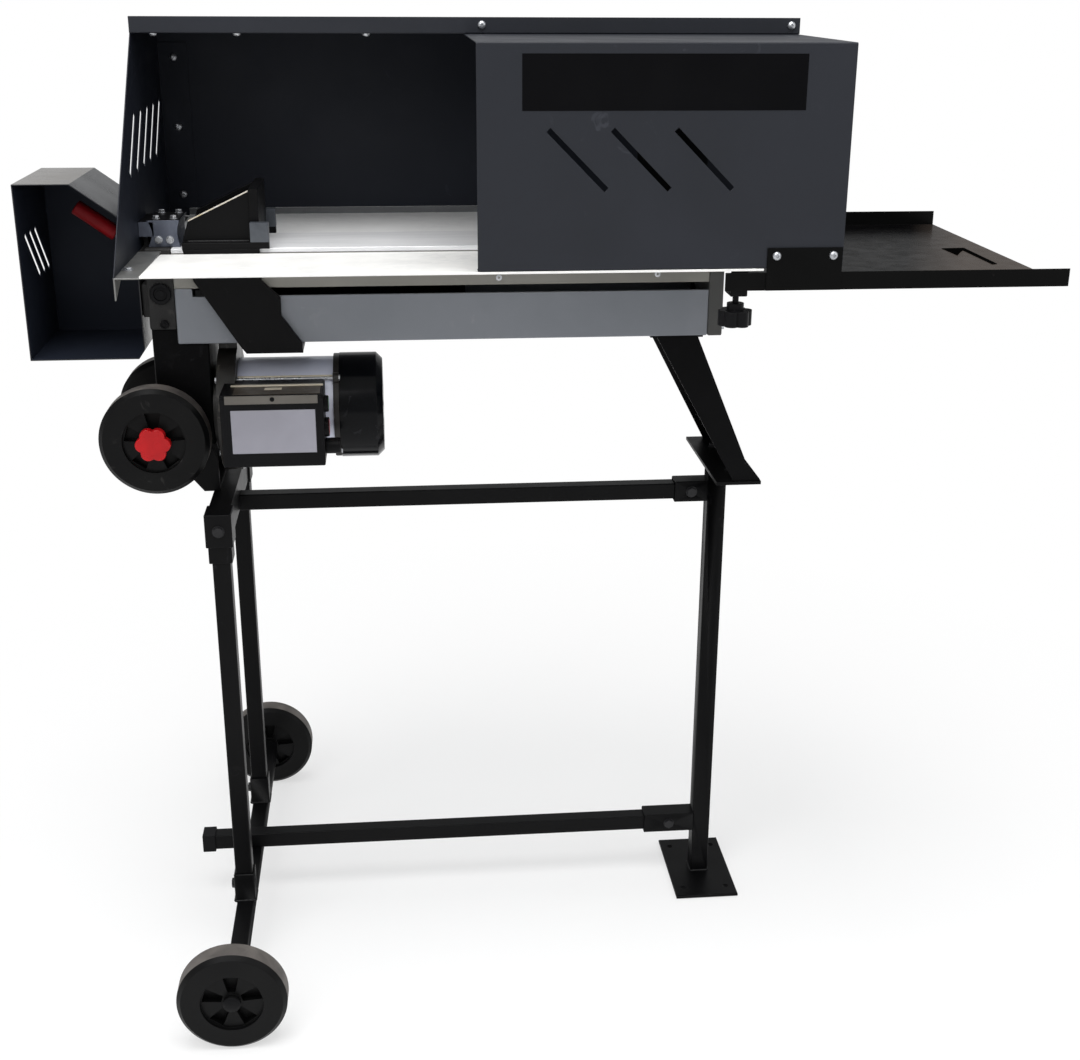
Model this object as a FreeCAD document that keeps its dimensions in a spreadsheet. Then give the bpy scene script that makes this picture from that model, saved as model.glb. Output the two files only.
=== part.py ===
"""Horizontal electric log splitter on its wheeled stand.

A hydraulic beam carries the log bed, a pusher that slides along it and a fixed wedge.
The motor and pump hang under the beam's left end, and a sheet steel guard stands over the bed.
All lengths are millimetres, and all angles are degrees.
X runs along the beam from the motor end to the output table, Y runs away from the operator,
and Z runs up from the ground.  The pieces are laid out from the stand's wheel axle, and every
node is then moved so that the origin lies on the ground under the middle of the whole machine.
"""
import FreeCAD, Part
import os
import re

import Sketcher

STAND = {
    "wheel_radius": 75, "wheel_width": 38, "hub_radius": 12, "hub_reach": 7, "wheel_web": 26,
    "rim_inner_radius": 43, "tread_chamfer": 6, "spoke_hole_inner": 14, "spoke_hole_outer": 40,
    "spoke_hole_root": 5, "spoke_hole_top": 11, "spoke_count": 5, "spoke_wall": 4,
    "axle_radius": 6, "running_gap": 0.05, "side_gap": 0.5,
    "stand_half_track": 387, "cap_radius": 12, "cap_height": 5, "axle_plug": 18,
    "leg_tube": 25, "leg_wall": 1.5, "leg_offset": 144, "leg_socket_height": 45,
    "socket_gap": 0.5, "socket_wall": 2, "rail_socket_wall": 3.5,
    "stand_height": 703, "top_tube_width": 30, "top_tube_height": 44, "top_tube_wall": 2,
    "collar_width": 37, "collar_depth": 42, "collar_height": 48, "sleeve_height": 25,
    "sleeve_wall": 3, "rail_tube": 24, "rail_wall": 1.5, "top_rail_drop": 35,
    "rail_overhang": 76, "rail_cap_length": 20, "rail_cap_wall": 2.5,
    "post_reach": 722, "post_side": 28, "post_rise": 3, "post_plate_length": 100,
    "post_plate_width": 170, "post_plate_thick": 6, "floor_bolt_x": 70, "floor_bolt_y": 124,
    "floor_bolt_hole": 4.5, "saddle_length": 60, "saddle_width": 200, "saddle_thick": 4,
    "saddle_shift": 11,
    "top_socket_length": 50, "low_socket_length": 80, "rail_grip": 45,
    "bolt_radius": 4, "bolt_head_radius": 6.5, "bolt_head": 5,
}
BEAM = {
    "beam_left": -48, "beam_length": 734, "beam_half_width": 65, "beam_rise": 214,
    "trough_height": 65, "trough_wall": 5, "slot_height": 11, "tank_height": 48, "tank_wall": 4,
    "bed_thick": 6, "end_cap_thick": 21, "casting_length": 36, "casting_rise": 20,
    "filler_length": 24, "filler_width": 40,
    "plug_radius": 14, "plug_height": 5, "plug_stem_radius": 7, "plug_stem": 22,
    "plug_up": 50, "bleed_radius": 6, "bleed_up": 8, "bleed_shift": 2,
    "ear_length": 42, "ear_thick": 5, "ear_inner": 9, "ear_height": 26, "spacer_length": 12,
    "spacer_width": 80, "spacer_height": 45, "spacer_up": 13,
    "mount_length": 44, "mount_front": -50, "mount_width": 80, "mount_height": 36,
    "mount_flange": 4, "mount_flange_rise": 14, "mount_flange_height": 20,
    "wedge_tip": 590, "wedge_slope": 65, "wedge_length": 96, "wedge_half_thick": 18,
    "wedge_height": 147, "wedge_top_drop": 30, "wedge_edge": 0.6,
    "wedge_base_length": 111, "wedge_base_width": 110, "wedge_base_thick": 6,
}
PUSHER = {
    "stroke": 335, "face_at_rest": 70, "face_thick": 12, "face_half_width": 62,
    "face_height": 69, "base_length": 102, "base_thick": 8, "base_gap": 0.3,
    "rib_thick": 10, "rib_inner": 48, "rib_tail_height": 27, "rib_tail_run": 8, "rib_drop": 3,
    "shoe_length": 13, "shoe_width": 12, "shoe_height": 34,
    "cheek_gap": 0.5, "cheek_thick": 8, "cheek_drop": 13, "keeper_thick": 8, "pad_gap": 0.3,
    "pad_length": 74, "pad_half_width": 55,
    "cross_left": -20, "cross_thick": 8.5, "saddle_half_width": 20, "saddle_drop": 7,
    "barrel_radius": 30, "barrel_wall": 5, "barrel_lift": 0.8, "barrel_inset": 8,
    "barrel_cap": 15, "gland_thick": 14, "piston_thick": 18, "piston_gap": 3, "rod_radius": 15,
    "oil_way_radius": 4,
}
TRAYS = {
    "tray_left": -61, "tray_length": 775, "tray_outer": 259, "tray_slit": 3, "tray_thick": 2,
    "tray_drop": 1, "tray_inner_drop": 4.5, "tray_lip": 3, "tray_rim": 10,
    "tray_arm_first": 560, "tray_arm_pitch": 80, "tray_arm_length": 40, "tray_arm_thick": 5,
    "tray_arm_reach": 130, "gusset_drop": 26, "gusset_run": 60,
}
GUARD = {
    "guard_left": -92, "guard_right": 815, "sheet": 1.5, "guard_rise": 274, "strip_height": 20,
    "strip_front": 18.5, "cover_left": 352, "cover_lap": 24, "cover_return": 14,
    "cover_clear": 0.3, "side_flange": 44, "vent_width": 7, "vent_length": 102, "vent_pitch": 78.5,
    "vent_first": 475, "vent_drop": 139,
    "end_vent_pitch": 60, "end_vent_width": 12, "end_vent_first": -38,
    "guard_bolt_radius": 5.5, "guard_bolt_head": 4, "flange_screw_rise": 31,
    "flange_screw_pitch": 100, "roof_screw_first": -62, "roof_screw_second": 48,
    "roof_screw_third": 220, "strip_screw_first": 376, "strip_screw_second": 803,
    "lever_box_left": -239, "lever_box_length": 143, "lever_box_drop": 12,
    "lever_box_height": 232, "lever_box_front": -97, "lever_box_depth": 184,
    "lever_box_slope_run": 70, "lever_box_slope_drop": 51, "lever_hole_rise": 98,
    "lever_hole_height": 65, "lever_hole_half": 22, "lever_wall_start": -45,
    "box_vent_width": 8, "box_vent_length": 92, "box_vent_pitch": 30, "box_vent_first": -23,
    "box_vent_rise": 129,
}
TABLE = {
    "table_start": 710, "table_flange_start": 665, "table_end": 1117, "table_drop": 28,
    "table_thick": 2, "table_flange": 23, "hook_left": 717, "hook_length": 97, "hook_height": 54,
    "hook_bolt_inset": 12, "hook_bolt_drop": 10,
    "clamp_x": 673, "clamp_length": 22, "clamp_drop": 8, "clamp_thick": 4, "clamp_reach": 32,
    "clamp_inset": 0.5, "knob_radius": 22, "knob_height": 20, "knob_boss": 9, "knob_drop": 40,
    "knob_lobes": 6, "knob_lobe_radius": 9, "screw_radius": 4, "screw_length": 50,
    "leg_top_left": 614, "leg_top_length": 59, "leg_top_half": 60, "leg_foot_half": 110,
    "leg_sheet": 3, "leg_heel_x": 723, "leg_knee_x": 741, "leg_knee_rise": 34,
    "leg_toe_x": 762, "leg_toe_rise": 7, "foot_left": 698, "foot_length": 65,
    "foot_half_width": 115, "foot_bolt_reach": 60,
    "foot_thick": 5, "leg_flange": 8,
}
DRIVE = {
    "motor_drop": 107, "housing_radius": 70, "housing_wall": 8, "housing_left": 26,
    "housing_length": 133,
    "shield_radius": 90, "shield_thick": 26, "shield_neck_radius": 60, "shield_neck": 8,
    "rear_shield_radius": 74, "rear_shield_thick": 8, "bearing_radius": 20,
    "bearing_width": 12, "shaft_radius": 8, "shaft_left": -74, "shaft_right": 205,
    "rotor_radius": 42, "rotor_left": 50, "rotor_length": 85, "air_gap": 0.5,
    "lug_length": 26, "lug_width": 30, "tie_circle": 74, "tie_radius": 2.5, "boss_radius": 8,
    "tie_nut_radius": 5, "tie_nut": 4,
    "fan_hub_radius": 14, "fan_radius": 60, "fan_left": 174, "fan_width": 18, "blade_thick": 3,
    "blade_count": 7, "cover_radius": 75, "cover_length": 61, "cover_wall": 2, "cover_corner": 9,
    "grille_inner": 22, "grille_outer": 60, "grille_slot": 7, "grille_count": 10,
    "pump_left": -78, "pump_length": 70, "pump_top_left": -84, "pump_half_width": 55,
    "pump_drop": 40, "pump_shoulder_rise": 25, "gear_left": -68, "gear_width": 20, "gear_pitch": 18,
    "gear_addendum": 2.4, "gear_dedendum": 3.2, "gear_teeth": 12, "gear_root_half": 2.9,
    "gear_tip_half": 1, "gear_room": 0.6, "idler_radius": 6, "idler_stub": 6,
    "bracket_plate": 5, "bracket_left": -103, "bracket_right": -6, "bracket_half_width": 60,
    "bracket_sheet": 4, "bracket_toe_left": -28, "machine_axle_x": -85,
    "machine_axle_drop": 20, "machine_half_track": 108, "star_radius": 24, "star_height": 12,
    "star_lobes": 6, "star_lobe_radius": 10,
    "switch_left": 10, "switch_length": 138, "switch_drop": 49, "switch_height": 102,
    "switch_front": -138, "switch_depth": 78, "switch_wall": 3, "button_y": -108,
    "start_rise": 80, "stop_rise": 47, "start_radius": 9, "stop_radius": 11,
    "button_proud": 6, "button_gap": 0.3, "button_flange": 2,
    "gland_rise": 20, "gland_radius": 9, "gland_nut_radius": 11, "gland_length": 20,
    "gland_bore": 4,
}
LEVER = {
    "pivot_x": -112, "pivot_rise": 129, "pin_radius": 5, "arm_half_thick": 6,
    "arm_hub_radius": 11, "tip_drop": 30, "tip_radius": 6, "arm_width": 10, "stem_radius": 5,
    "stem_length": 75, "stem_angle": 36, "grip_start": 20, "grip_radius": 10.5,
    "grip_length": 64, "spool_radius": 6, "spool_head_radius": 9, "spool_head": 4,
    "spool_gap": 0.3, "spool_stop": 62,
}
COMMON = {"overrun": 1, "right_angle": 90}
FULL_TURN = 360
SIZES = {**STAND, **BEAM, **PUSHER, **TRAYS, **GUARD, **TABLE, **DRIVE, **LEVER, **COMMON}

# Places and sizes that follow from the driving dimensions.
PLACES = {
    "origin_x": "(lever_box_left + table_end) / 2",
    "wheel_inner": "stand_half_track - wheel_width",
    "leg_socket": "leg_tube + 2 * (socket_gap + socket_wall)",
    "rail_socket": "rail_tube + 2 * (socket_gap + rail_socket_wall)",
    "axle_beam_top": "wheel_radius + leg_tube / 2",
    "low_rail_height": "axle_beam_top + rail_tube / 2",
    "post_face": "post_reach - post_side / 2",
    "leg_top": "stand_height - sleeve_wall",
    "top_rail_height": "stand_height - top_rail_drop",
    "post_height": "stand_height + post_rise",
    "foot_height": "post_height + saddle_thick",
    "leg_knee_z": "foot_height + leg_knee_rise",
    "leg_toe_z": "foot_height + leg_toe_rise",
    "beam_under": "stand_height + beam_rise",
    "casting_under": "beam_under + casting_rise",
    "trough_top": "beam_under + trough_height",
    "tank_low": "trough_top + slot_height",
    "tank_top": "tank_low + tank_height",
    "bed_top": "tank_top + bed_thick",
    "beam_right": "beam_left + beam_length",
    "casting_left": "beam_left - casting_length",
    "barrel_height": "beam_under + trough_wall + barrel_lift + barrel_radius",
    "barrel_left": "beam_left + barrel_inset",
    "barrel_bore": "barrel_radius - barrel_wall",
    "barrel_length": "stroke + gland_thick + piston_thick + barrel_cap + 2 * piston_gap",
    "piston_right": "barrel_left + barrel_length - barrel_cap - piston_gap",
    "cross_low": "barrel_height + barrel_radius",
    "cheek_inner": "beam_half_width + cheek_gap",
    "cheek_outer": "cheek_inner + cheek_thick",
    "cheek_low": "beam_under - cheek_drop",
    "pad_thick": "cheek_drop - keeper_thick - pad_gap",
    "base_low": "bed_top + base_gap",
    "base_left": "face_at_rest - base_length",
    "tray_inner": "cheek_outer + tray_slit",
    "tray_outer_height": "bed_top - tray_drop",
    "tray_inner_height": "tray_outer_height - tray_inner_drop",
    "corner_top": "tray_outer_height - tray_thick",
    "corner_edge": "tray_outer - side_gap",
    "corner_under": "corner_top - tray_thick",
    "back_face": "tray_outer",
    "guard_top": "tray_outer_height + guard_rise",
    "vent_height": "guard_top - vent_drop",
    "flange_screw_low": "tray_outer_height + flange_screw_rise",
    "lever_box_under": "beam_under - lever_box_drop",
    "lever_hole_low": "lever_box_under + lever_hole_rise",
    "box_vent_height": "lever_box_under + box_vent_rise",
    "table_height": "tray_outer_height - table_drop",
    "clamp_low": "table_height - clamp_drop",
    "knob_low": "clamp_low - knob_drop",
    "strip_back": "strip_front + sheet",
    "cover_top": "guard_top - sheet - cover_clear / 2",
    "cover_low": "tray_outer_height + cover_clear",
    "hook_outer": "tray_outer + table_thick",
    "motor_height": "beam_under - motor_drop",
    "pump_low": "motor_height - pump_drop",
    "pump_shoulder": "motor_height + pump_shoulder_rise",
    "machine_axle_height": "motor_height - machine_axle_drop",
    "housing_right": "housing_left + housing_length",
    "fan_cover_left": "housing_right + rear_shield_thick",
    "gear_tip": "gear_pitch + gear_addendum",
    "gear_root": "gear_pitch - gear_dedendum",
    "idler_height": "motor_height + 2 * gear_pitch",
    "pivot_height": "beam_under + pivot_rise",
    "spool_height": "pivot_height - tip_drop",
    "spool_left": "pivot_x + tip_radius + spool_gap",
    "switch_right": "switch_left + switch_length",
    "switch_low": "motor_height - switch_drop",
    "start_height": "switch_low + start_rise",
    "stop_height": "switch_low + stop_rise",
    "gland_height": "switch_low + gland_rise",
    "diagonal_share": "0.5 ^ 0.5",
    "tie_reach": "tie_circle * diagonal_share",
}

doc = FreeCAD.newDocument("log_splitter")
sheet = doc.addObject("Spreadsheet::Sheet", "sizes")
for row, (alias, number) in enumerate(SIZES.items(), start=1):
    sheet.set(f"A{row}", alias)
    sheet.set(f"B{row}", str(number))
    sheet.setAlias(f"B{row}", alias)
doc.recompute()

WORD = re.compile(r"[a-z][a-z_]+")
LINE_UP = {
    "X": FreeCAD.Rotation(FreeCAD.Vector(0, 1, 0), COMMON["right_angle"]),
    "Y": FreeCAD.Rotation(FreeCAD.Vector(1, 0, 0), -COMMON["right_angle"]),
    "Z": FreeCAD.Rotation(),
}
nodes = []


def formula(text):
    """Turn words of the two tables above into an expression on the sheet."""
    def word(match):
        name = match.group(0)
        if name in PLACES:
            return "(" + formula(PLACES[name]) + ")"
        return "sizes." + name if name in SIZES else name
    return WORD.sub(word, text)


def bind(thing, name, text):
    thing.setExpression(name, formula(text))


def place(thing, x, y, z):
    """Bind the thing's position; its rotation stays as it is."""
    for axis, text in zip("xyz", (x, y, z)):
        bind(thing, "Placement.Base." + axis, text)
    return thing


def box(name, length, width, height, x, y, z):
    """A block whose low corner is at x, y, z."""
    block = doc.addObject("Part::Box", name)
    bind(block, "Length", length)
    bind(block, "Width", width)
    bind(block, "Height", height)
    return place(block, x, y, z)


def rod(name, axis, radius, length, x, y, z):
    """A cylinder that starts at x, y, z and runs along the axis."""
    round_bar = doc.addObject("Part::Cylinder", name)
    round_bar.Placement = FreeCAD.Placement(FreeCAD.Vector(), LINE_UP[axis])
    bind(round_bar, "Radius", radius)
    bind(round_bar, "Height", length)
    return place(round_bar, x, y, z)


def fuse(name, *pieces):
    joined = doc.addObject("Part::MultiFuse", name)
    joined.Shapes = list(pieces)
    return joined


def cut(name, base, *tools):
    """The base less its tools."""
    result = doc.addObject("Part::Cut", name)
    result.Base = base
    result.Tool = tools[0] if len(tools) == 1 else fuse(name + "_tools", *tools)
    return result


def ring(name, axis, outer, inner, length, x, y, z):
    """A round tube with the given outer and inner radius."""
    start = {axis.lower(): "- overrun"}
    return cut(name, rod(name + "_outside", axis, outer, length, x, y, z),
               rod(name + "_bore", axis, inner, f"{length} + 2 * overrun",
                   x + start.get("x", ""), y + start.get("y", ""), z + start.get("z", "")))


def plane_of(body, role):
    return next(item for item in body.Origin.OriginFeatures if item.Role == role)


def sketch_on(body, plane, loops, holes=()):
    """A sketch on one of the body's own planes, from closed loops of points and round holes."""
    sketch = body.newObject("Sketcher::SketchObject", body.Name + "_sketch")
    sketch.AttachmentSupport = (plane_of(body, plane + "_Plane"), [""])
    sketch.MapMode = "FlatFace"
    for points in loops:
        first = sketch.GeometryCount
        count = len(points)
        start = [FreeCAD.Rotation(FreeCAD.Vector(0, 0, 1), FULL_TURN * step / count)
                 .multVec(FreeCAD.Vector(1, 0, 0)) for step in range(count)]
        for step in range(count):
            sketch.addGeometry(Part.LineSegment(start[step], start[(step + 1) % count]), False)
        for step, (across, up) in enumerate(points):
            here, after = first + step, first + (step + 1) % count
            sketch.addConstraint(Sketcher.Constraint("Coincident", here, 2, after, 1))
            for kind, text, number in (("DistanceX", across, start[step].x),
                                       ("DistanceY", up, start[step].y)):
                index = sketch.addConstraint(Sketcher.Constraint(kind, -1, 1, here, 1, number))
                bind(sketch, f"Constraints[{index}]", text)
    for across, up, radius in holes:
        circle = sketch.addGeometry(Part.Circle(), False)
        for kind, text in (("DistanceX", across), ("DistanceY", up)):
            index = sketch.addConstraint(Sketcher.Constraint(kind, -1, 1, circle, 3, 0.0))
            bind(sketch, f"Constraints[{index}]", text)
        index = sketch.addConstraint(Sketcher.Constraint("Radius", circle, 1.0))
        bind(sketch, f"Constraints[{index}]", radius)
    return sketch


def plate(name, plane, loops, thick, x="0", y="0", z="0", holes=()):
    """A padded outline that starts on its plane and grows along the plane's positive axis."""
    body = doc.addObject("PartDesign::Body", name)
    sketch = sketch_on(body, plane, loops, holes)
    pad = body.newObject("PartDesign::Pad", name + "_pad")
    pad.Profile = sketch
    pad.Reversed = plane == "XZ"
    bind(pad, "Length", thick)
    return place(body, x, y, z)


def turned(name, axis, points, x="0", y="0", z="0"):
    """A body turned about X or Y from half of its section, as (along, radius) points."""
    body = doc.addObject("PartDesign::Body", name)
    if axis == "Y":
        points = [(radius, along) for along, radius in points]
    sketch = sketch_on(body, "XY", [points])
    turn = body.newObject("PartDesign::Revolution", name + "_turn")
    turn.Profile = sketch
    turn.ReferenceAxis = (sketch, ["H_Axis" if axis == "X" else "V_Axis"])
    turn.Angle = FULL_TURN
    return place(body, x, y, z)


def around(body, feature, axis, count):
    """Repeat the feature round one of the body's own axes."""
    pattern = body.newObject("PartDesign::PolarPattern", body.Name + "_pattern")
    pattern.Originals = [feature]
    pattern.Axis = (plane_of(body, axis + "_Axis"), [""])
    pattern.Angle = FULL_TURN
    bind(pattern, "Occurrences", count)
    body.Tip = pattern
    return body


def node(label, *pieces):
    """One named sub-part, moved from the axle's frame to the machine's own origin."""
    part = doc.addObject("Part::Compound", label)
    part.Links = list(pieces)
    part.Label = label
    bind(part, "Placement.Base.x", "-(origin_x)")
    nodes.append(part)


def bolt(name, axis, x, y, z, shank, outward=-1):
    """A bolt whose head lies against x, y, z; outward is the head's side along the axis."""
    head, stem = [x, y, z], [x, y, z]
    along = "XYZ".index(axis)
    if outward < 0:
        head[along] += " - bolt_head"
    else:
        stem[along] += f" - ({shank})"
    return fuse(name, rod(name + "_head", axis, "bolt_head_radius", "bolt_head", *head),
                rod(name + "_stem", axis, "bolt_radius", shank, *stem))


def square_tube(name, axis, side, wall, length, x, y, z):
    """A square tube centred on the line that starts at x, y, z."""
    middle = {"X": (x, f"{y} - {side} / 2", f"{z} - {side} / 2"),
              "Y": (f"{x} - {side} / 2", y, f"{z} - {side} / 2"),
              "Z": (f"{x} - {side} / 2", f"{y} - {side} / 2", z)}[axis]
    inner = f"({side} - 2 * {wall})"
    low = {"X": (f"{x} - overrun", f"{y} - {inner} / 2", f"{z} - {inner} / 2"),
           "Y": (f"{x} - {inner} / 2", f"{y} - overrun", f"{z} - {inner} / 2"),
           "Z": (f"{x} - {inner} / 2", f"{y} - {inner} / 2", f"{z} - overrun")}[axis]
    long = f"{length} + 2 * overrun"
    outside = [length if axis == turn else side for turn in "XYZ"]
    inside = [long if axis == turn else inner for turn in "XYZ"]
    return cut(name, box(name + "_outside", *outside, *middle),
               box(name + "_inside", *inside, *low))


def wheel(name, x, y, z, side):
    """A moulded wheel about Y with pockets on both faces; side is 1 at the back."""
    body = doc.addObject("PartDesign::Body", name)
    face, back = ("wheel_width", "-(hub_reach)") if side > 0 else ("0", "wheel_width + hub_reach")
    web_low, web_high = "wheel_width / 2 - wheel_web / 2", "wheel_width / 2 + wheel_web / 2"
    if side > 0:
        hub_low, hub_high = back, face
    else:
        hub_low, hub_high = face, back
    bore = "axle_radius + running_gap"
    section = [(bore, hub_low), ("hub_radius", hub_low), ("hub_radius", web_low),
               ("rim_inner_radius", web_low), ("rim_inner_radius", "0"),
               ("wheel_radius - tread_chamfer", "0"), ("wheel_radius", "tread_chamfer"),
               ("wheel_radius", "wheel_width - tread_chamfer"),
               ("wheel_radius - tread_chamfer", "wheel_width"),
               ("rim_inner_radius", "wheel_width"), ("rim_inner_radius", web_high),
               ("hub_radius", web_high), ("hub_radius", hub_high), (bore, hub_high)]
    turn = body.newObject("PartDesign::Revolution", name + "_turn")
    turn.Profile = sketch_on(body, "XY", [section])
    turn.ReferenceAxis = (turn.Profile[0], ["V_Axis"])
    turn.Angle = FULL_TURN
    opening = [("-(spoke_hole_root)", "spoke_hole_inner"), ("spoke_hole_root", "spoke_hole_inner"),
               ("spoke_hole_top", "spoke_hole_outer"), ("-(spoke_hole_top)", "spoke_hole_outer")]
    pocket = body.newObject("PartDesign::Pocket", name + "_opening")
    pocket.Profile = sketch_on(body, "XZ", [opening])
    pocket.Type = "ThroughAll"
    pocket.Midplane = True
    around(body, pocket, "Y", "spoke_count")
    inner, outer = "(spoke_hole_inner - overrun)", "(rim_inner_radius - overrun)"
    wall = ring(name + "_wall", "Y", outer, inner, "spoke_wall", x,
                f"{y} + (wheel_width - spoke_wall) / 2", z)
    return fuse(name + "_moulding", place(body, x, y, z), wall)


def star(name, axis, radius, lobe, height, x, y, z, count):
    """A star grip: a round core with lobes round it."""
    body = doc.addObject("PartDesign::Body", name)
    plane = {"Y": "XZ", "Z": "XY"}[axis]
    core = body.newObject("PartDesign::Pad", name + "_core")
    core.Profile = sketch_on(body, plane, [], [("0", "0", f"{radius} - {lobe}")])
    core.Reversed = axis == "Y"
    bind(core, "Length", height)
    lobes = body.newObject("PartDesign::Pad", name + "_lobe")
    lobes.Profile = sketch_on(body, plane, [], [(f"{radius} - {lobe}", "0", lobe)])
    lobes.Reversed = axis == "Y"
    bind(lobes, "Length", height)
    around(body, lobes, axis, count)
    return place(body, x, y, z)


def build_stand():
    """The wheeled H-frame at the left, the post at the right and the two rails between them."""
    beam = square_tube("axle_tube", "Y", "leg_tube", "socket_wall",
                       "2 * (wheel_inner - hub_reach - side_gap)",
                       "0", "-(wheel_inner - hub_reach - side_gap)", "wheel_radius")
    plugs = [box(f"axle_plug_{tag}", "leg_tube - 2 * socket_wall", "axle_plug",
                 "leg_tube - 2 * socket_wall", "-(leg_tube / 2 - socket_wall)", y,
                 "wheel_radius - leg_tube / 2 + socket_wall")
             for tag, y in (("front", "-(wheel_inner - hub_reach - side_gap)"),
                            ("rear", "wheel_inner - hub_reach - side_gap - axle_plug"))]
    sockets = [square_tube(f"leg_socket_{tag}", "Z", "leg_socket", "socket_wall",
                           "leg_socket_height", "0", y, "axle_beam_top")
               for tag, y in (("front", "-(leg_offset)"), ("rear", "leg_offset"))]
    bore = rod("axle_beam_bore", "Y", "axle_radius", "2 * stand_half_track", "0",
               "-(stand_half_track)", "wheel_radius")
    socket_bolts = [bolt(f"socket_bolt_{tag}", "X", "-(leg_socket / 2)", y,
                         "axle_beam_top + leg_socket_height / 2", "socket_wall + socket_gap")
                    for tag, y in (("front", "-(leg_offset)"), ("rear", "leg_offset"))]
    node("stand_axle_beam", cut("axle_beam", fuse("axle_weldment", beam, *plugs, *sockets), bore,
                                *socket_bolts))
    node("stand_axle", fuse(
        "axle_rod",
        rod("axle_bar", "Y", "axle_radius", "2 * (stand_half_track + cap_height)", "0",
            "-(stand_half_track + cap_height)", "wheel_radius"),
        rod("axle_cap_front", "Y", "cap_radius", "cap_height - side_gap", "0",
            "-(stand_half_track + cap_height)", "wheel_radius"),
        rod("axle_cap_rear", "Y", "cap_radius", "cap_height - side_gap", "0",
            "stand_half_track + side_gap", "wheel_radius")))
    node("stand_legs", *[
        square_tube(f"leg_{tag}", "Z", "leg_tube", "leg_wall", "leg_top - axle_beam_top",
                    "0", y, "axle_beam_top")
        for tag, y in (("front", "-(leg_offset)"), ("rear", "leg_offset"))])
    node("stand_wheel_front", wheel("wheel_front", "0", "-(stand_half_track)", "wheel_radius", -1))
    node("stand_wheel_rear", wheel("wheel_rear", "0", "wheel_inner", "wheel_radius", 1))

    tube = cut("top_tube",
               box("top_tube_outside", "top_tube_width", "2 * leg_offset", "top_tube_height",
                   "-(top_tube_width / 2)", "-(leg_offset)", "stand_height - top_tube_height"),
               box("top_tube_inside", "top_tube_width - 2 * top_tube_wall", "2 * leg_offset",
                   "top_tube_height - 2 * top_tube_wall",
                   "-(top_tube_width / 2 - top_tube_wall)", "-(leg_offset)",
                   "stand_height - top_tube_height + top_tube_wall"))
    collars = []
    rooms = []
    for tag, y in (("front", "-(leg_offset)"), ("rear", "leg_offset")):
        collars.append(box(f"collar_{tag}", "collar_width", "collar_depth", "collar_height",
                           "-(collar_width / 2)", f"{y} - collar_depth / 2",
                           "stand_height - collar_height"))
        sleeve = "(leg_tube + 2 * (socket_gap + sleeve_wall))"
        collars.append(box(f"sleeve_{tag}", sleeve, sleeve, "sleeve_height", f"-({sleeve} / 2)",
                           f"{y} - {sleeve} / 2", "stand_height - collar_height - sleeve_height"))
        room = "(leg_tube + 2 * socket_gap)"
        rooms.append(box(f"leg_room_{tag}", room, room,
                         "collar_height + sleeve_height - sleeve_wall + overrun",
                         f"-({room} / 2)", f"{y} - {room} / 2",
                         "stand_height - collar_height - sleeve_height - overrun"))
    collar_bolts = [bolt(f"collar_bolt_{tag}", "Y", "0", f"{sign} (leg_offset + collar_depth / 2)",
                         "stand_height - collar_height / 2", "(collar_depth - leg_tube) / 2", side)
                    for tag, sign, side in (("front", "-", -1), ("rear", "+", 1))]
    node("stand_top_beam", cut("top_beam", fuse("top_weldment", tube, *collars), *rooms,
                               *collar_bolts))

    node("stand_top_rail",
         square_tube("top_rail", "X", "rail_tube", "rail_wall",
                     "post_face - top_socket_length + rail_grip - top_tube_width / 2",
                     "top_tube_width / 2", "0", "top_rail_height"))
    node("stand_bottom_rail",
         square_tube("bottom_rail", "X", "rail_tube", "rail_wall",
                     "post_face - low_socket_length + rail_grip + rail_overhang",
                     "-(rail_overhang)", "0", "low_rail_height"))
    cap = "(rail_tube + 2 * rail_cap_wall)"
    node("rail_end_cap", cut(
        "rail_cap",
        box("rail_cap_outside", "rail_cap_length", cap, cap,
            "-(rail_overhang + rail_cap_wall)", f"-({cap} / 2)", f"low_rail_height - {cap} / 2"),
        box("rail_cap_inside", "rail_cap_length", "rail_tube", "rail_tube", "-(rail_overhang)",
            "-(rail_tube / 2)", "low_rail_height - rail_tube / 2")))

    post = square_tube("post_tube", "Z", "post_side", "leg_wall", "post_height - post_plate_thick",
                       "post_reach", "0", "post_plate_thick")
    holes = [(f"post_reach {dx} floor_bolt_x / 2", f"{dy} (floor_bolt_y / 2)", "floor_bolt_hole")
             for dx in "+-" for dy in "+-"]
    left, right = "post_reach - post_plate_length / 2", "post_reach + post_plate_length / 2"
    foot = plate("post_foot", "XY", [[(left, "-(post_plate_width / 2)"),
                                      (right, "-(post_plate_width / 2)"),
                                      (right, "post_plate_width / 2"),
                                      (left, "post_plate_width / 2")]],
                 "post_plate_thick", holes=holes)
    saddle = box("saddle_plate", "saddle_length", "saddle_width", "saddle_thick",
                 "post_reach + saddle_shift - saddle_length / 2", "-(saddle_width / 2)",
                 "post_height")
    sockets = [square_tube(f"rail_socket_{tag}", "X", "rail_socket", "rail_socket_wall",
                           length, f"post_face - {length}", "0", z)
               for tag, length, z in (("top", "top_socket_length", "top_rail_height"),
                                      ("bottom", "low_socket_length", "low_rail_height"))]
    rail_bolts = [bolt(f"rail_bolt_{tag}", "Y", f"post_face - {length} / 2", "-(rail_socket / 2)",
                       z, "rail_socket_wall + socket_gap")
                  for tag, length, z in (("top", "top_socket_length", "top_rail_height"),
                                         ("bottom", "low_socket_length", "low_rail_height"))]
    node("stand_post", cut("post", fuse("post_weldment", post, foot, saddle, *sockets),
                           *rail_bolts))
    return socket_bolts + collar_bolts + rail_bolts


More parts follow.
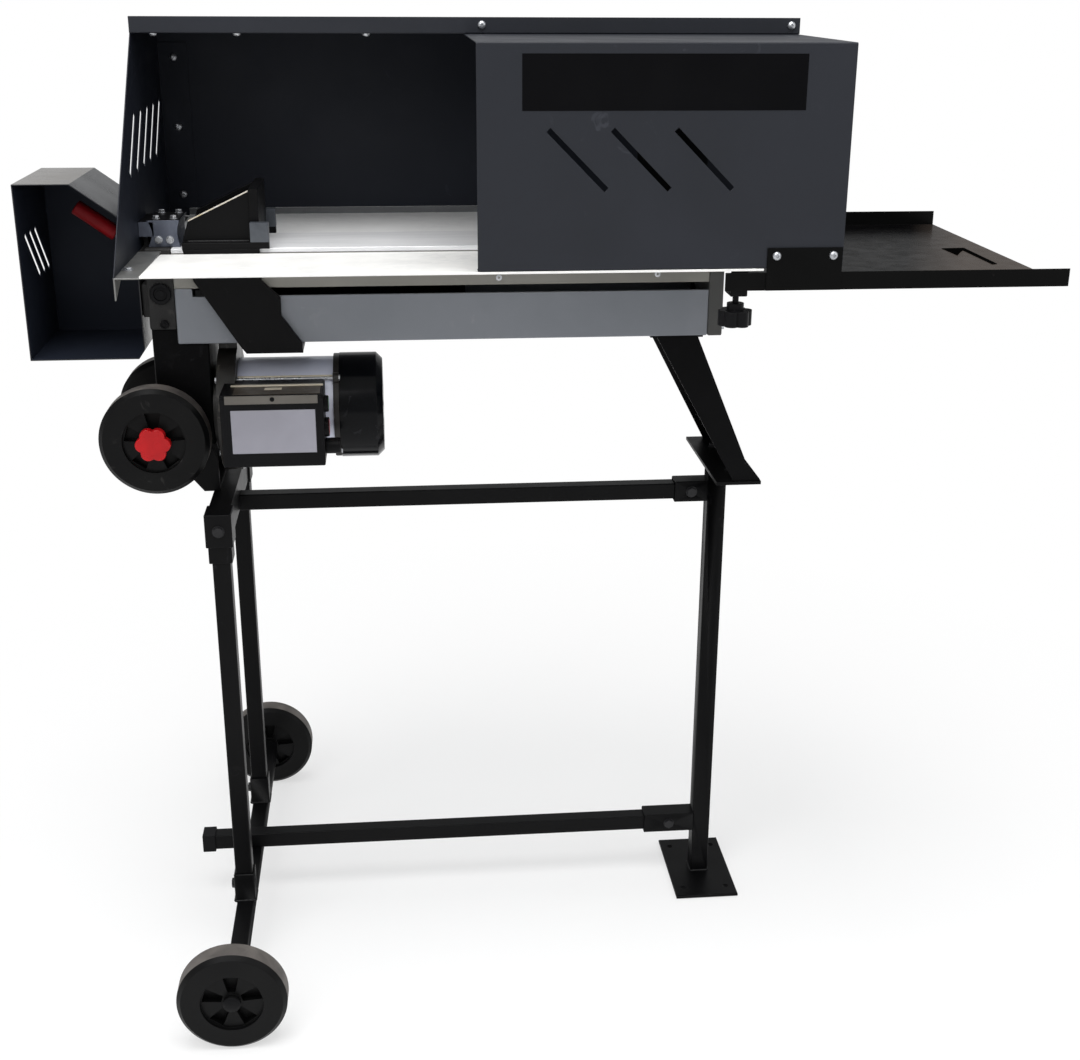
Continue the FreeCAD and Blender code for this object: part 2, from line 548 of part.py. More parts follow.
def build_beam():
    """The hydraulic beam with its end pieces, the bed and the wedge."""
    half, low = "beam_half_width", "beam_under"
    inner = "(beam_half_width - trough_wall)"
    trough = plate("trough", "YZ", [[
        (f"-({half})", low), (half, low), (half, "trough_top"), (inner, "trough_top"),
        (inner, f"{low} + trough_wall"), (f"-{inner}", f"{low} + trough_wall"),
        (f"-{inner}", "trough_top"), (f"-({half})", "trough_top")]],
        "beam_length", "beam_left")
    fillers = [box(f"slot_filler_{tag}", "filler_length", "filler_width", "slot_height",
                   "beam_left", y, "trough_top")
               for tag, y in (("front", f"-({half})"), ("rear", f"{half} - filler_width"))]
    node("beam_profile", fuse("beam_shell", trough, *fillers))
    tank_inner = "(beam_half_width - tank_wall)"
    tank = plate("tank", "YZ", [
        [(f"-({half})", "tank_low"), (half, "tank_low"), (half, "tank_top"),
         (f"-({half})", "tank_top")],
        [(f"-{tank_inner}", "tank_low + tank_wall"), (tank_inner, "tank_low + tank_wall"),
         (tank_inner, "tank_top - tank_wall"), (f"-{tank_inner}", "tank_top - tank_wall")]],
        "beam_length", "beam_left")
    node("oil_tank", tank)
    node("bed_plate", box("bed", "beam_length", "2 * beam_half_width", "bed_thick",
                          "beam_left", f"-({half})", "tank_top"))
    cap_bolts = [bolt(f"cap_bolt_{tag}_{level}", "X", "beam_right + end_cap_thick",
                      f"{sign} (beam_half_width - 2 * bolt_head_radius)", z,
                      "end_cap_thick / 2", 1)
                 for tag, sign in (("front", "-"), ("rear", "+"))
                 for level, z in (("low", "beam_under + 2 * bolt_head_radius"),
                                  ("high", "tank_top - 2 * bolt_head_radius"))]
    node("beam_end_cap", cut(
        "end_cap_bored", box("end_cap", "end_cap_thick", "2 * beam_half_width",
                             "bed_top - beam_under", "beam_right", f"-({half})", low),
        *cap_bolts))

    block = box("casting_block", "casting_length", "2 * beam_half_width",
                "bed_top - casting_under", "casting_left", f"-({half})", "casting_under")
    ears = [box(f"lever_ear_{tag}", "ear_length", "ear_thick", "ear_height",
                "casting_left - ear_length", y, "pivot_height - ear_height / 2")
            for tag, y in (("front", "-(ear_inner + ear_thick)"), ("rear", "ear_inner"))]
    spacer = box("casting_spacer", "spacer_length", "spacer_width", "spacer_height",
                 "casting_left - spacer_length", "-(spacer_width / 2)",
                 "casting_under + spacer_up")
    spool_bore = rod("spool_bore", "X", "spool_radius + running_gap",
                     "casting_length", "casting_left - overrun", "0", "spool_height")
    pin_bore = rod("pin_bore", "Y", "pin_radius", "2 * (ear_inner + ear_thick + overrun)",
                   "pivot_x", "-(ear_inner + ear_thick + overrun)", "pivot_height")
    middle = "casting_left + casting_length / 2"
    plug_hole = rod("plug_hole", "Y", "plug_stem_radius", "plug_stem + overrun", middle,
                    f"-({half} + overrun)", "casting_under + plug_up")
    bleed_hole = rod("bleed_hole", "Y", "bleed_radius / 2", "plug_stem + overrun",
                     f"{middle} + bleed_shift", f"-({half} + overrun)", "casting_under + bleed_up")
    node("end_casting", cut("casting", fuse("casting_raw", block, spacer, *ears),
                            spool_bore, pin_bore, plug_hole, bleed_hole))
    filler = fuse("filler",
                  rod("filler_head", "Y", "plug_radius", "plug_height", middle,
                      f"-({half} + plug_height)", "casting_under + plug_up"),
                  rod("filler_stem", "Y", "plug_stem_radius", "plug_stem", middle, f"-({half})",
                      "casting_under + plug_up"))
    bleed = fuse("bleed",
                 rod("bleed_head", "Y", "bleed_radius", "plug_height",
                     f"{middle} + bleed_shift", f"-({half} + plug_height)",
                     "casting_under + bleed_up"),
                 rod("bleed_stem", "Y", "bleed_radius / 2", "plug_stem",
                     f"{middle} + bleed_shift", f"-({half})", "casting_under + bleed_up"))
    node("tank_plugs", filler, bleed)

    mount = box("mount_block", "mount_length", "mount_width", "mount_height",
                "casting_left + mount_flange", "mount_front", "bed_top")
    flange = box("mount_tab", "casting_left + mount_flange + overrun - guard_left - sheet",
                 "mount_width", "mount_flange_height", "guard_left + sheet", "mount_front",
                 "bed_top + mount_flange_rise")
    ear_room = box("mount_ear_room", "ear_length", "2 * (ear_inner + ear_thick + side_gap)",
                   "ear_height + 2 * side_gap", "casting_left - ear_length",
                   "-(ear_inner + ear_thick + side_gap)",
                   "pivot_height - ear_height / 2 - side_gap")
    node("guard_mount", cut("mount", fuse("mount_raw", mount, flange), ear_room))

    blade = plate("wedge_blade", "XY", [[
        ("wedge_tip", "-(wedge_edge)"), ("wedge_tip + wedge_slope", "-(wedge_half_thick)"),
        ("wedge_tip + wedge_length", "-(wedge_half_thick)"),
        ("wedge_tip + wedge_length", "wedge_half_thick"),
        ("wedge_tip + wedge_slope", "wedge_half_thick"), ("wedge_tip", "wedge_edge")]],
        "wedge_height", z="bed_top")
    top = "bed_top + wedge_height"
    shear = plate("wedge_top_cut", "XZ", [[
        ("wedge_tip - overrun", f"{top} - wedge_top_drop"),
        ("wedge_tip + wedge_slope", f"{top} + overrun"),
        ("wedge_tip - overrun", f"{top} + overrun")]],
        "2 * (wedge_half_thick + overrun)", y="-(wedge_half_thick + overrun)")
    foot = box("wedge_foot", "wedge_base_length", "wedge_base_width", "wedge_base_thick",
               "beam_right - wedge_base_length", "-(wedge_base_width / 2)", "bed_top")
    wedge_bolts = [bolt(f"wedge_bolt_{tag}", "Z",
                        "beam_right - wedge_base_length + bolt_head_radius + side_gap",
                        f"{sign} (wedge_base_width / 2 - bolt_head_radius - side_gap)",
                        "bed_top + wedge_base_thick", "wedge_base_thick / 2", 1)
                   for tag, sign in (("front", "-"), ("rear", "+"))]
    node("wedge", cut("wedge_bored", fuse("wedge_weldment", cut("wedge_cut", blade, shear), foot),
                      *wedge_bolts))
    pin = rod("lever_pin", "Y", "pin_radius", "2 * (ear_inner + ear_thick)", "pivot_x",
              "-(ear_inner + ear_thick)", "pivot_height")
    return [pin, *cap_bolts, *wedge_bolts]


def build_pusher():
    """The sliding ram: head, cheeks, keeper and pads, and the cylinder that drives them."""
    base = box("pusher_base", "base_length", "2 * cheek_outer", "base_thick", "base_left",
               "-(cheek_outer)", "base_low")
    top = "base_low + base_thick"
    face = box("pusher_face", "face_thick", "2 * face_half_width", "face_height",
               "face_at_rest - face_thick", "-(face_half_width)", top)
    ribs = [plate(f"pusher_rib_{tag}", "XZ", [[
        ("base_left", top), ("face_at_rest - face_thick", top),
        ("face_at_rest - face_thick", f"{top} + face_height - rib_drop"),
        ("base_left + rib_tail_run", f"{top} + rib_tail_height"), ("base_left", top + " + rib_drop")]],
        "rib_thick", y=y) for tag, y in (("front", "-(rib_inner + rib_thick)"),
                                         ("rear", "rib_inner"))]
    shoes = [box(f"pusher_shoe_{tag}", "shoe_length + face_thick", "shoe_width", "shoe_height",
                 "face_at_rest - face_thick", y, "base_low")
             for tag, y in (("front", "-(cheek_outer)"), ("rear", "cheek_outer - shoe_width"))]
    node("pusher_head", fuse("pusher_weldment", base, face, *ribs, *shoes))
    knee_share, notch_share = 0.85, 0.4
    outline = [
        ("base_left", "base_low"), ("face_at_rest", "base_low"),
        ("face_at_rest", "tank_low + slot_height"),
        ("face_at_rest + 2 * face_thick", "trough_top - side_gap"),
        ("face_at_rest + 2 * face_thick", f"trough_top - {notch_share} * trough_height"),
        ("face_at_rest + base_length / 2", "beam_under"),
        ("face_at_rest + base_length / 2", "cheek_low"),
        ("face_at_rest - base_length / 4", "cheek_low"),
        (f"face_at_rest - {knee_share} * base_length / 2 + rib_tail_run", "beam_under"),
        ("base_left + face_thick", "tank_low + slot_height")]
    node("pusher_cheeks", *[plate(f"cheek_{tag}", "XZ", [outline], "cheek_thick", y=y)
                            for tag, y in (("front", "-(cheek_outer)"),
                                           ("rear", "cheek_inner"))])
    keeper_left = "(face_at_rest - base_length / 4)"
    keeper_length = "(3 * base_length / 4)"
    node("pusher_keeper", box("keeper", keeper_length, "2 * cheek_inner", "keeper_thick",
                              keeper_left, "-(cheek_inner)", "cheek_low"))
    node("slide_pads", *[
        box(f"pad_{tag}", "pad_length", "pad_half_width - saddle_half_width", "pad_thick",
            keeper_left, y, "cheek_low + keeper_thick")
        for tag, y in (("front", "-(pad_half_width)"), ("rear", "saddle_half_width"))])
    cross = box("cross_plate", "face_at_rest - cross_left", "2 * cheek_inner", "cross_thick",
                "cross_left", "-(cheek_inner)", "cross_low")
    saddle = cut("cross_saddle",
                 box("cross_saddle_block", "face_at_rest - cross_left", "2 * saddle_half_width",
                     "saddle_drop", "cross_left", "-(saddle_half_width)",
                     "cross_low - saddle_drop"),
                 rod("cross_saddle_room", "X", "barrel_radius", "2 * base_length",
                     "cross_left - overrun", "0", "barrel_height"))
    node("crosshead", fuse("cross", cross, saddle))
    node("cylinder_barrel", cut(
        "barrel",
        rod("barrel_outside", "X", "barrel_radius", "barrel_length", "barrel_left", "0",
            "barrel_height"),
        rod("barrel_room", "X", "barrel_bore", "barrel_length - gland_thick - barrel_cap",
            "barrel_left + gland_thick", "0", "barrel_height"),
        rod("barrel_gland", "X", "rod_radius + running_gap", "gland_thick + 2 * overrun",
            "barrel_left - overrun", "0", "barrel_height")))
    node("piston_rod",
         ring("rod_bar", "X", "rod_radius", "oil_way_radius",
              "piston_right - piston_thick - beam_left", "beam_left", "0", "barrel_height"),
         ring("piston", "X", "barrel_bore - running_gap", "oil_way_radius", "piston_thick",
              "piston_right - piston_thick", "0", "barrel_height"))


def build_trays():
    """The log trays either side of the bed, their arms and the left corner plates."""
    inner, outer, low = "tray_inner", "tray_outer", "tray_inner_height"
    high = "tray_outer_height"
    for tag, sign in (("front", "-"), ("rear", "+")):
        def at(y, z):
            return f"{sign} ({y})", z
        if tag == "front":
            lip = [at(outer, high), at(outer, f"{high} - tray_lip"),
                   at(f"{outer} - tray_thick", f"{high} - tray_lip")]
        else:
            lip = [at(f"{outer} - tray_thick", high), at(f"{outer} - tray_thick",
                                                         f"{high} + tray_rim"),
                   at(outer, f"{high} + tray_rim"), at(outer, f"{high} - tray_thick")]
        outline = [at(inner, low), *lip, at(f"{outer} - tray_thick", f"{high} - tray_thick"),
                   at(inner, f"{low} - tray_thick")]
        node(f"{tag}_tray", plate(f"{tag}_tray_sheet", "YZ", [outline], "tray_length",
                                  "tray_left"))
    corners = []
    arms = []
    for tag, sign, low_y, arm_y in (
            ("front", "-", "-(corner_edge)", "-(beam_half_width + tray_arm_reach)"),
            ("rear", "+", "beam_half_width", "beam_half_width")):
        sheet_piece = box(f"corner_plate_{tag}", "tray_left - guard_left",
                          "corner_edge - beam_half_width", "tray_thick", "guard_left", low_y,
                          "corner_under")
        gusset = plate(f"corner_gusset_{tag}", "YZ", [[
            (f"{sign} (corner_edge)", "corner_under"),
            (f"{sign} (corner_edge)", "corner_under - gusset_drop"),
            (f"{sign} (corner_edge - gusset_run)", "corner_under")]], "tray_thick", "guard_left")
        corners.append(fuse(f"corner_{tag}", sheet_piece, gusset))
        for step in range(2):
            arms.append(box(f"tray_arm_{tag}_{step}", "tray_arm_length", "tray_arm_reach",
                            "tray_arm_thick", f"tray_arm_first + {step} * tray_arm_pitch", arm_y,
                            "tray_inner_height - tray_thick - tray_arm_thick"))
    node("tray_brackets", *corners, *arms)


def vent(first, pitch, step, lean, length="vent_length", width="vent_width",
         height="vent_height"):
    """One slanted slot of a row; it leans up to the right where lean is 1."""
    long, wide = f"({length} / 2 * diagonal_share)", f"({width} / 2 * diagonal_share)"
    middle = f"{first} + {step} * {pitch}"
    return [(f"{middle} {across} {lean} * ({run})", f"{height} {up} ({run_up})")
            for across, run, up, run_up in (
                ("-", f"{long} + {wide}", "-", f"{long} - {wide}"),
                ("-", f"{long} - {wide}", "-", f"{long} + {wide}"),
                ("+", f"{long} + {wide}", "+", f"{long} - {wide}"),
                ("+", f"{long} - {wide}", "+", f"{long} + {wide}"))]


def build_guards():
    """The back guard with its roof, the end panel, the cover over the wedge and the lever box."""
    back, roof = "back_face", "guard_top"
    length = "guard_right - guard_left"
    node("back_guard", plate("back_sheet", "YZ", [[
        (back, "tray_outer_height - tray_thick"), (f"{back} + sheet",
                                                   "tray_outer_height - tray_thick"),
        (f"{back} + sheet", roof), ("strip_back", roof), ("strip_back", f"{roof} + strip_height"),
        ("strip_front", f"{roof} + strip_height"), ("strip_front", f"{roof} - sheet"),
        (back, f"{roof} - sheet")]], length, "guard_left"))

    vents = [vent("end_vent_first", "end_vent_pitch", step, 1, width="end_vent_width")
             for step in range(5)]
    notch = "(ear_inner + ear_thick + side_gap)"
    notch_top = "pivot_height + ear_height / 2 + side_gap"
    panel = plate("end_sheet", "YZ", [
        [("-(tray_outer - side_gap)", "corner_top"), (f"-{notch}", "corner_top"),
         (f"-{notch}", notch_top), (notch, notch_top), (notch, "corner_top"),
         (back, "corner_top"), (back, f"{roof} - sheet"), ("strip_back", f"{roof} - sheet")],
        *vents], "sheet", "guard_left")
    flange = box("end_flange", "side_flange", "sheet",
                 "guard_top - sheet - strip_height - tray_outer_height - tray_rim - side_gap",
                 "guard_left", f"{back} - sheet", "tray_outer_height + tray_rim + side_gap")
    node("guard_end_panel", fuse("end_panel", panel, flange))

    front, top = "-(tray_outer)", "cover_top"
    cover = plate("cover_sheet", "YZ", [[
        (front, "cover_low"), (f"{front} + cover_return", "cover_low"),
        (f"{front} + cover_return", "cover_low + sheet"), (f"{front} + sheet", "cover_low + sheet"),
        (f"{front} + sheet", f"{top} - sheet"), ("strip_back + cover_lap", f"{top} - sheet"),
        ("strip_back + cover_lap", top), (front, top)]],
        "guard_right - cover_left", "cover_left")
    slots = [plate(f"vent_{step}", "XZ", [vent("vent_first", "vent_pitch", step, -1)],
                   "2 * (sheet + overrun)", y=f"{front} - overrun") for step in range(3)]
    node("wedge_cover", cut("cover", cover, *slots))

    left, low = "lever_box_left", "lever_box_under"
    right, high = "(lever_box_left + lever_box_length)", "(lever_box_under + lever_box_height)"

    def shell(inset):
        turn = f"{inset} / 2"
        return [(f"{left} + {inset}", f"{low} + {inset}"), (f"{right} - {inset}", f"{low} + {inset}"),
                (f"{right} - {inset}", f"{high} - lever_box_slope_drop - {turn}"),
                (f"{right} - lever_box_slope_run - {turn}", f"{high} - {inset}"),
                (f"{left} + {inset}", f"{high} - {inset}")]
    outside = plate("lever_box_outside", "XZ", [shell("0")], "lever_box_depth",
                    y="lever_box_front")
    inside = plate("lever_box_inside", "XZ", [shell("sheet")],
                   "lever_box_depth - sheet + overrun", y="lever_box_front - overrun")
    doorway = box("lever_doorway", "2 * (sheet + overrun)", "2 * lever_hole_half",
                  "lever_hole_height", f"{right} - sheet - overrun", "-(lever_hole_half)",
                  "lever_hole_low")
    front_way = box("lever_front_way", "2 * (sheet + overrun)",
                    "lever_wall_start - lever_box_front + overrun",
                    "lever_box_height - lever_box_slope_drop - 2 * sheet",
                    f"{right} - sheet - overrun", "lever_box_front - overrun", f"{low} + sheet")
    slots = [plate(f"box_vent_{step}", "YZ",
                   [vent("box_vent_first", "box_vent_pitch", step, -1, "box_vent_length",
                         "box_vent_width", "box_vent_height")],
                   "sheet + 2 * overrun", f"{left} - overrun") for step in range(3)]
    node("lever_guard", cut("lever_box", outside, inside, doorway, front_way, *slots))

    def screw(name, x, y, z):
        return rod(name, "Y", "guard_bolt_radius", "guard_bolt_head", x, y, z)
    screws = [screw(f"flange_screw_{step}", "guard_left + sheet + side_flange / 2",
                    f"{back} - sheet - guard_bolt_head",
                    f"flange_screw_low + {step} * flange_screw_pitch") for step in range(3)]
    screws += [screw(f"strip_screw_{tag}", f"strip_screw_{tag}", "strip_front - guard_bolt_head",
                     "guard_top + strip_height / 2") for tag in ("first", "second")]
    screws += [rod(f"roof_nut_{tag}", "Z", "guard_bolt_radius", "guard_bolt_head",
                   f"roof_screw_{tag}", "strip_back + guard_bolt_radius + side_gap",
                   f"{roof} - sheet - guard_bolt_head") for tag in ("first", "second", "third")]
    for tag, x in (("left", "hook_left + hook_bolt_inset"),
                   ("right", "hook_left + hook_length - hook_bolt_inset")):
        height = "table_height + hook_height - hook_bolt_drop"
        screws.append(screw(f"hook_screw_{tag}", x, "-(hook_outer + guard_bolt_head)", height))
        screws.append(screw(f"rear_hook_screw_{tag}", x, f"{back} + sheet", height))
    node("guard_bolts", *screws)


def build_table():
    """The output table, its clamp, and the support leg under the beam's right end."""
    outer = "tray_outer"
    surface = box("table_sheet", "table_end - table_start", f"2 * {outer}", "table_thick",
                  "table_start", f"-({outer})", "table_height")
    flanges = [box(f"table_flange_{tag}", "table_end - table_flange_start", "table_thick",
                   "table_flange", "table_flange_start", y, "table_height")
               for tag, y in (("front", f"-({outer})"), ("rear", f"{outer} - table_thick"))]
    hooks = [box(f"table_hook_{tag}", "hook_length", "table_thick", "hook_height", "hook_left",
                 y, "table_height")
             for tag, y in (("front", "-(hook_outer)"), ("rear", f"{outer} - table_thick"))]
    node("output_table", fuse("table_weldment", surface, *flanges, *hooks))

    edge = "-(tray_outer - table_thick - clamp_inset)"
    upright = box("clamp_upright", "clamp_length", "clamp_thick",
                  "tray_outer_height - tray_thick - side_gap / 2 - clamp_low", "clamp_x", edge,
                  "clamp_low")
    foot = box("clamp_foot", "clamp_length", "clamp_reach", "clamp_thick", "clamp_x", edge,
               "clamp_low")
    middle_x = "clamp_x + clamp_length / 2"
    middle_y = "-(tray_outer - table_thick - clamp_inset - clamp_reach / 2 - clamp_thick / 2)"
    room = rod("clamp_room", "Z", "screw_radius + running_gap", "clamp_thick + 2 * overrun",
               middle_x, middle_y, "clamp_low - overrun")
    node("clamp_bracket", cut("clamp", fuse("clamp_raw", upright, foot), room))
    grip = star("clamp_star", "Z", "knob_radius", "knob_lobe_radius", "knob_height", middle_x,
                middle_y, "knob_low", "knob_lobes")
    boss = rod("clamp_boss", "Z", "knob_radius / 2", "knob_boss", middle_x, middle_y,
               "knob_low + knob_height")
    screw = rod("clamp_screw", "Z", "screw_radius", "screw_length", middle_x, middle_y,
                "knob_low + knob_height")
    node("clamp_knob", fuse("clamp_handle", grip, boss, screw))

    left, top = "leg_top_left", "beam_under"
    right = f"({left} + leg_top_length)"
    toe = "foot_left + foot_length"
    foot_top = "foot_height + foot_thick"
    outline = [(left, top), (right, top), ("leg_knee_x", "leg_knee_z"),
               ("leg_toe_x", "leg_toe_z"), (toe, foot_top), ("leg_heel_x", foot_top)]
    web = "leg_sheet"
    room = [(f"{left} - 2 * {web}", f"{top} - {web}"), (f"{right} - {web}", f"{top} - {web}"),
            (f"leg_knee_x - {web}", "leg_knee_z"), (f"leg_toe_x - {web}", "leg_toe_z"),
            (f"{toe} - 2 * {web}", foot_top), (f"leg_heel_x - 2 * {web}", foot_top)]

    def flared(name, loop, inset):
        """The outline over the leg's width, which grows from the beam to the foot."""
        wide, narrow = f"(leg_foot_half - {inset})", f"(leg_top_half - {inset})"
        across = [(f"-{wide}", foot_top), (wide, foot_top), (narrow, top), (f"-{narrow}", top)]
        shape = doc.addObject("Part::MultiCommon", name)
        shape.Shapes = [
            plate(name + "_side", "XZ", [loop], "2 * leg_foot_half", y="-(leg_foot_half)"),
            plate(name + "_front", "YZ", [across], f"{toe} - {left} + 2 * leg_flange",
                  f"{left} - leg_flange")]
        return shape

    channel = cut("leg_channel", flared("leg_block", outline, "0"),
                  flared("leg_room", room, web))
    foot_plate = box("leg_foot", "foot_length", "2 * foot_half_width", "foot_thick", "foot_left",
                     "-(foot_half_width)", "foot_height")
    flange = box("leg_top_plate", "leg_top_length + 2 * leg_flange", "2 * leg_top_half",
                 web, f"{left} - leg_flange", "-(leg_top_half)", f"{top} - {web}")
    bolts = [bolt(f"foot_bolt_{tag}", "Z", "foot_left + foot_length / 2",
                  f"{sign} foot_bolt_reach", foot_top, "foot_thick", 1)
             for tag, sign in (("front", "-"), ("rear", "+"))]
    node("support_leg", cut("leg", fuse("leg_weldment", channel, foot_plate, flange), *bolts))
    return bolts


def gear(name, x, z, turned_by):
    """A spur gear about X, with its first tooth turned from the top by part of a tooth."""
    body = doc.addObject("PartDesign::Body", name)
    blank = body.newObject("PartDesign::Pad", name + "_blank")
    blank.Profile = sketch_on(body, "YZ", [], [("0", "0", "gear_root")])
    bind(blank, "Length", "gear_width")
    tooth = body.newObject("PartDesign::Pad", name + "_tooth")
    tooth.Profile = sketch_on(body, "YZ", [[
        ("-(gear_root_half)", "gear_root - gear_tip_half"),
        ("gear_root_half", "gear_root - gear_tip_half"), ("gear_tip_half", "gear_tip"),
        ("-(gear_tip_half)", "gear_tip")]])
    bind(tooth, "Length", "gear_width")
    around(body, tooth, "X", "gear_teeth")
    body.Placement = FreeCAD.Placement(FreeCAD.Vector(), FreeCAD.Rotation(
        FreeCAD.Vector(1, 0, 0), turned_by * FULL_TURN / SIZES["gear_teeth"]))
    return place(body, x, "0", z)


def build_drive():
    """The pump, the motor with its fan and cover, the switch box and the machine's wheels."""
    upper = box("pump_upper", "beam_left - pump_top_left", "2 * pump_half_width",
                "casting_under - pump_shoulder", "pump_top_left", "-(pump_half_width)",
                "pump_shoulder")
    right = "(pump_left + pump_length)"
    main = box("pump_main", "pump_length", "2 * pump_half_width", "beam_under - pump_low",
               "pump_left", "-(pump_half_width)", "pump_low")
    rooms = [rod(f"gear_room_{tag}", "X", "gear_tip + gear_room", "gear_width + 2 * gear_room",
                 "gear_left - gear_room", "0", z)
             for tag, z in (("drive", "motor_height"), ("idler", "idler_height"))]
    ways = [rod("shaft_way", "X", "shaft_radius + running_gap", "pump_length + 2 * overrun",
                "shaft_left - gear_room", "0", "motor_height"),
            rod("idler_way", "X", "idler_radius + running_gap",
                "gear_width + 2 * (idler_stub + gear_room)",
                "gear_left - idler_stub - gear_room", "0", "idler_height")]
    node("pump_body", cut("pump", fuse("pump_raw", upper, main), *rooms, *ways))
    node("pump_drive_gear", cut(
        "drive_gear", gear("drive_gear_blank", "gear_left", "motor_height", 0),
        rod("drive_gear_bore", "X", "shaft_radius", "gear_width + 2 * overrun",
            "gear_left - overrun", "0", "motor_height")))
    node("pump_idler_gear", fuse(
        "idler_gear", gear("idler_gear_blank", "gear_left", "idler_height", 0.5),
        rod("idler_shaft", "X", "idler_radius", "gear_width + 2 * idler_stub",
            "gear_left - idler_stub", "0", "idler_height")))

    height = "motor_height"
    shaft = rod("motor_shaft", "X", "shaft_radius", "shaft_right - shaft_left", "shaft_left",
                "0", height)
    core = rod("rotor_core", "X", "rotor_radius", "rotor_length", "rotor_left", "0", height)
    node("motor_rotor", fuse("rotor", shaft, core))

    neck = rod("shield_neck", "X", "shield_neck_radius", "shield_neck + overrun",
               "housing_left - shield_thick - shield_neck", "0", height)
    disc = rod("shield_disc", "X", "shield_radius", "shield_thick",
               "housing_left - shield_thick", "0", height)
    lug = box("shield_lug", "lug_length", "lug_width", "beam_under - motor_height",
              "housing_left - lug_length", "-(lug_width / 2)", height)
    rear = rod("rear_shield", "X", "rear_shield_radius", "rear_shield_thick", "housing_right",
               "0", height)
    seat_rear = ring("seat_rear", "X", "bearing_radius + housing_wall", "bearing_radius",
                     "bearing_width", "housing_right - bearing_width", "0", height)
    corners = [(sy, sz) for sy in "+-" for sz in "+-"]
    bosses = [rod(f"rear_boss_{index}", "X", "boss_radius", "rear_shield_thick",
                  "housing_right", f"{sy} tie_reach", f"{height} {sz} tie_reach")
              for index, (sy, sz) in enumerate(corners)]
    ways = [rod(f"tie_way_{index}", "X", "tie_radius", "2 * housing_length",
                "housing_left - shield_thick - overrun", f"{sy} tie_reach",
                f"{height} {sz} tie_reach") for index, (sy, sz) in enumerate(corners)]
    seat_front = rod("seat_front", "X", "bearing_radius", "bearing_width + overrun",
                     "housing_left - bearing_width", "0", height)
    way_front = rod("shaft_way_front", "X", "shaft_radius + side_gap", "2 * housing_length",
                    "pump_left", "0", height)
    node("motor_end_shields",
         cut("front_shield", fuse("front_shield_raw", neck, disc, lug), seat_front, way_front,
             fuse("tie_ways", *ways)),
         cut("back_shield", fuse("back_shield_raw", rear, seat_rear, *bosses), way_front,
             fuse("tie_ways_back", *ways)))
    node("motor_bearings", *[
        ring(f"bearing_{tag}", "X", "bearing_radius", "shaft_radius + running_gap",
             "bearing_width", x, "0", height)
        for tag, x in (("front", "housing_left - bearing_width"),
                       ("rear", "housing_right - bearing_width"))])

    housing = ring("housing", "X", "housing_radius", "housing_radius - housing_wall",
                   "housing_length", "housing_left", "0", height)
    stator = ring("stator", "X", "housing_radius - housing_wall", "rotor_radius + air_gap",
                  "rotor_length", "rotor_left", "0", height)
    node("motor_housing", housing, stator)

    node("motor_tie_rods", *[
        fuse(f"tie_{index}",
             rod(f"tie_bar_{index}", "X", "tie_radius",
                 "housing_length + shield_thick + rear_shield_thick",
                 "housing_left - shield_thick", f"{sy} tie_reach", f"{height} {sz} tie_reach"),
             rod(f"tie_nut_{index}", "X", "tie_nut_radius", "tie_nut",
                 "housing_left - shield_thick - tie_nut", f"{sy} tie_reach",
                 f"{height} {sz} tie_reach"))
        for index, (sy, sz) in enumerate(corners)])

    fan = doc.addObject("PartDesign::Body", "fan")
    hub = fan.newObject("PartDesign::Pad", "fan_hub")
    hub.Profile = sketch_on(fan, "YZ", [], [("0", "0", "fan_hub_radius"),
                                            ("0", "0", "shaft_radius")])
    bind(hub, "Length", "fan_width")
    blade = fan.newObject("PartDesign::Pad", "fan_blade")
    blade.Profile = sketch_on(fan, "YZ", [[
        ("-(blade_thick / 2)", "fan_hub_radius - blade_thick"),
        ("blade_thick / 2", "fan_hub_radius - blade_thick"), ("blade_thick / 2", "fan_radius"),
        ("-(blade_thick / 2)", "fan_radius")]])
    bind(blade, "Length", "fan_width")
    around(fan, blade, "X", "blade_count")
    node("motor_fan", place(fan, "fan_left", "0", height))

    wall, corner = "cover_wall", "cover_corner"
    shell = turned("fan_cover_shell", "X", [
        ("0", f"cover_radius - {wall}"), ("0", "cover_radius"),
        (f"cover_length - {corner}", "cover_radius"),
        ("cover_length", f"cover_radius - {corner}"), ("cover_length", "0"),
        (f"cover_length - {wall}", "0"),
        (f"cover_length - {wall}", f"cover_radius - {corner} - {wall}"),
        (f"cover_length - {corner} - {wall}", f"cover_radius - {wall}")])
    slot = shell.newObject("PartDesign::Pocket", "grille_slot_cut")
    slot.Profile = sketch_on(shell, "YZ", [[
        ("-(grille_slot / 2)", "grille_inner"), ("grille_slot / 2", "grille_inner"),
        ("grille_slot", "grille_outer"), ("-(grille_slot)", "grille_outer")]])
    slot.Type = "ThroughAll"
    slot.Midplane = True
    around(shell, slot, "X", "grille_count")
    node("fan_cover", place(shell, "fan_cover_left", "0", height))

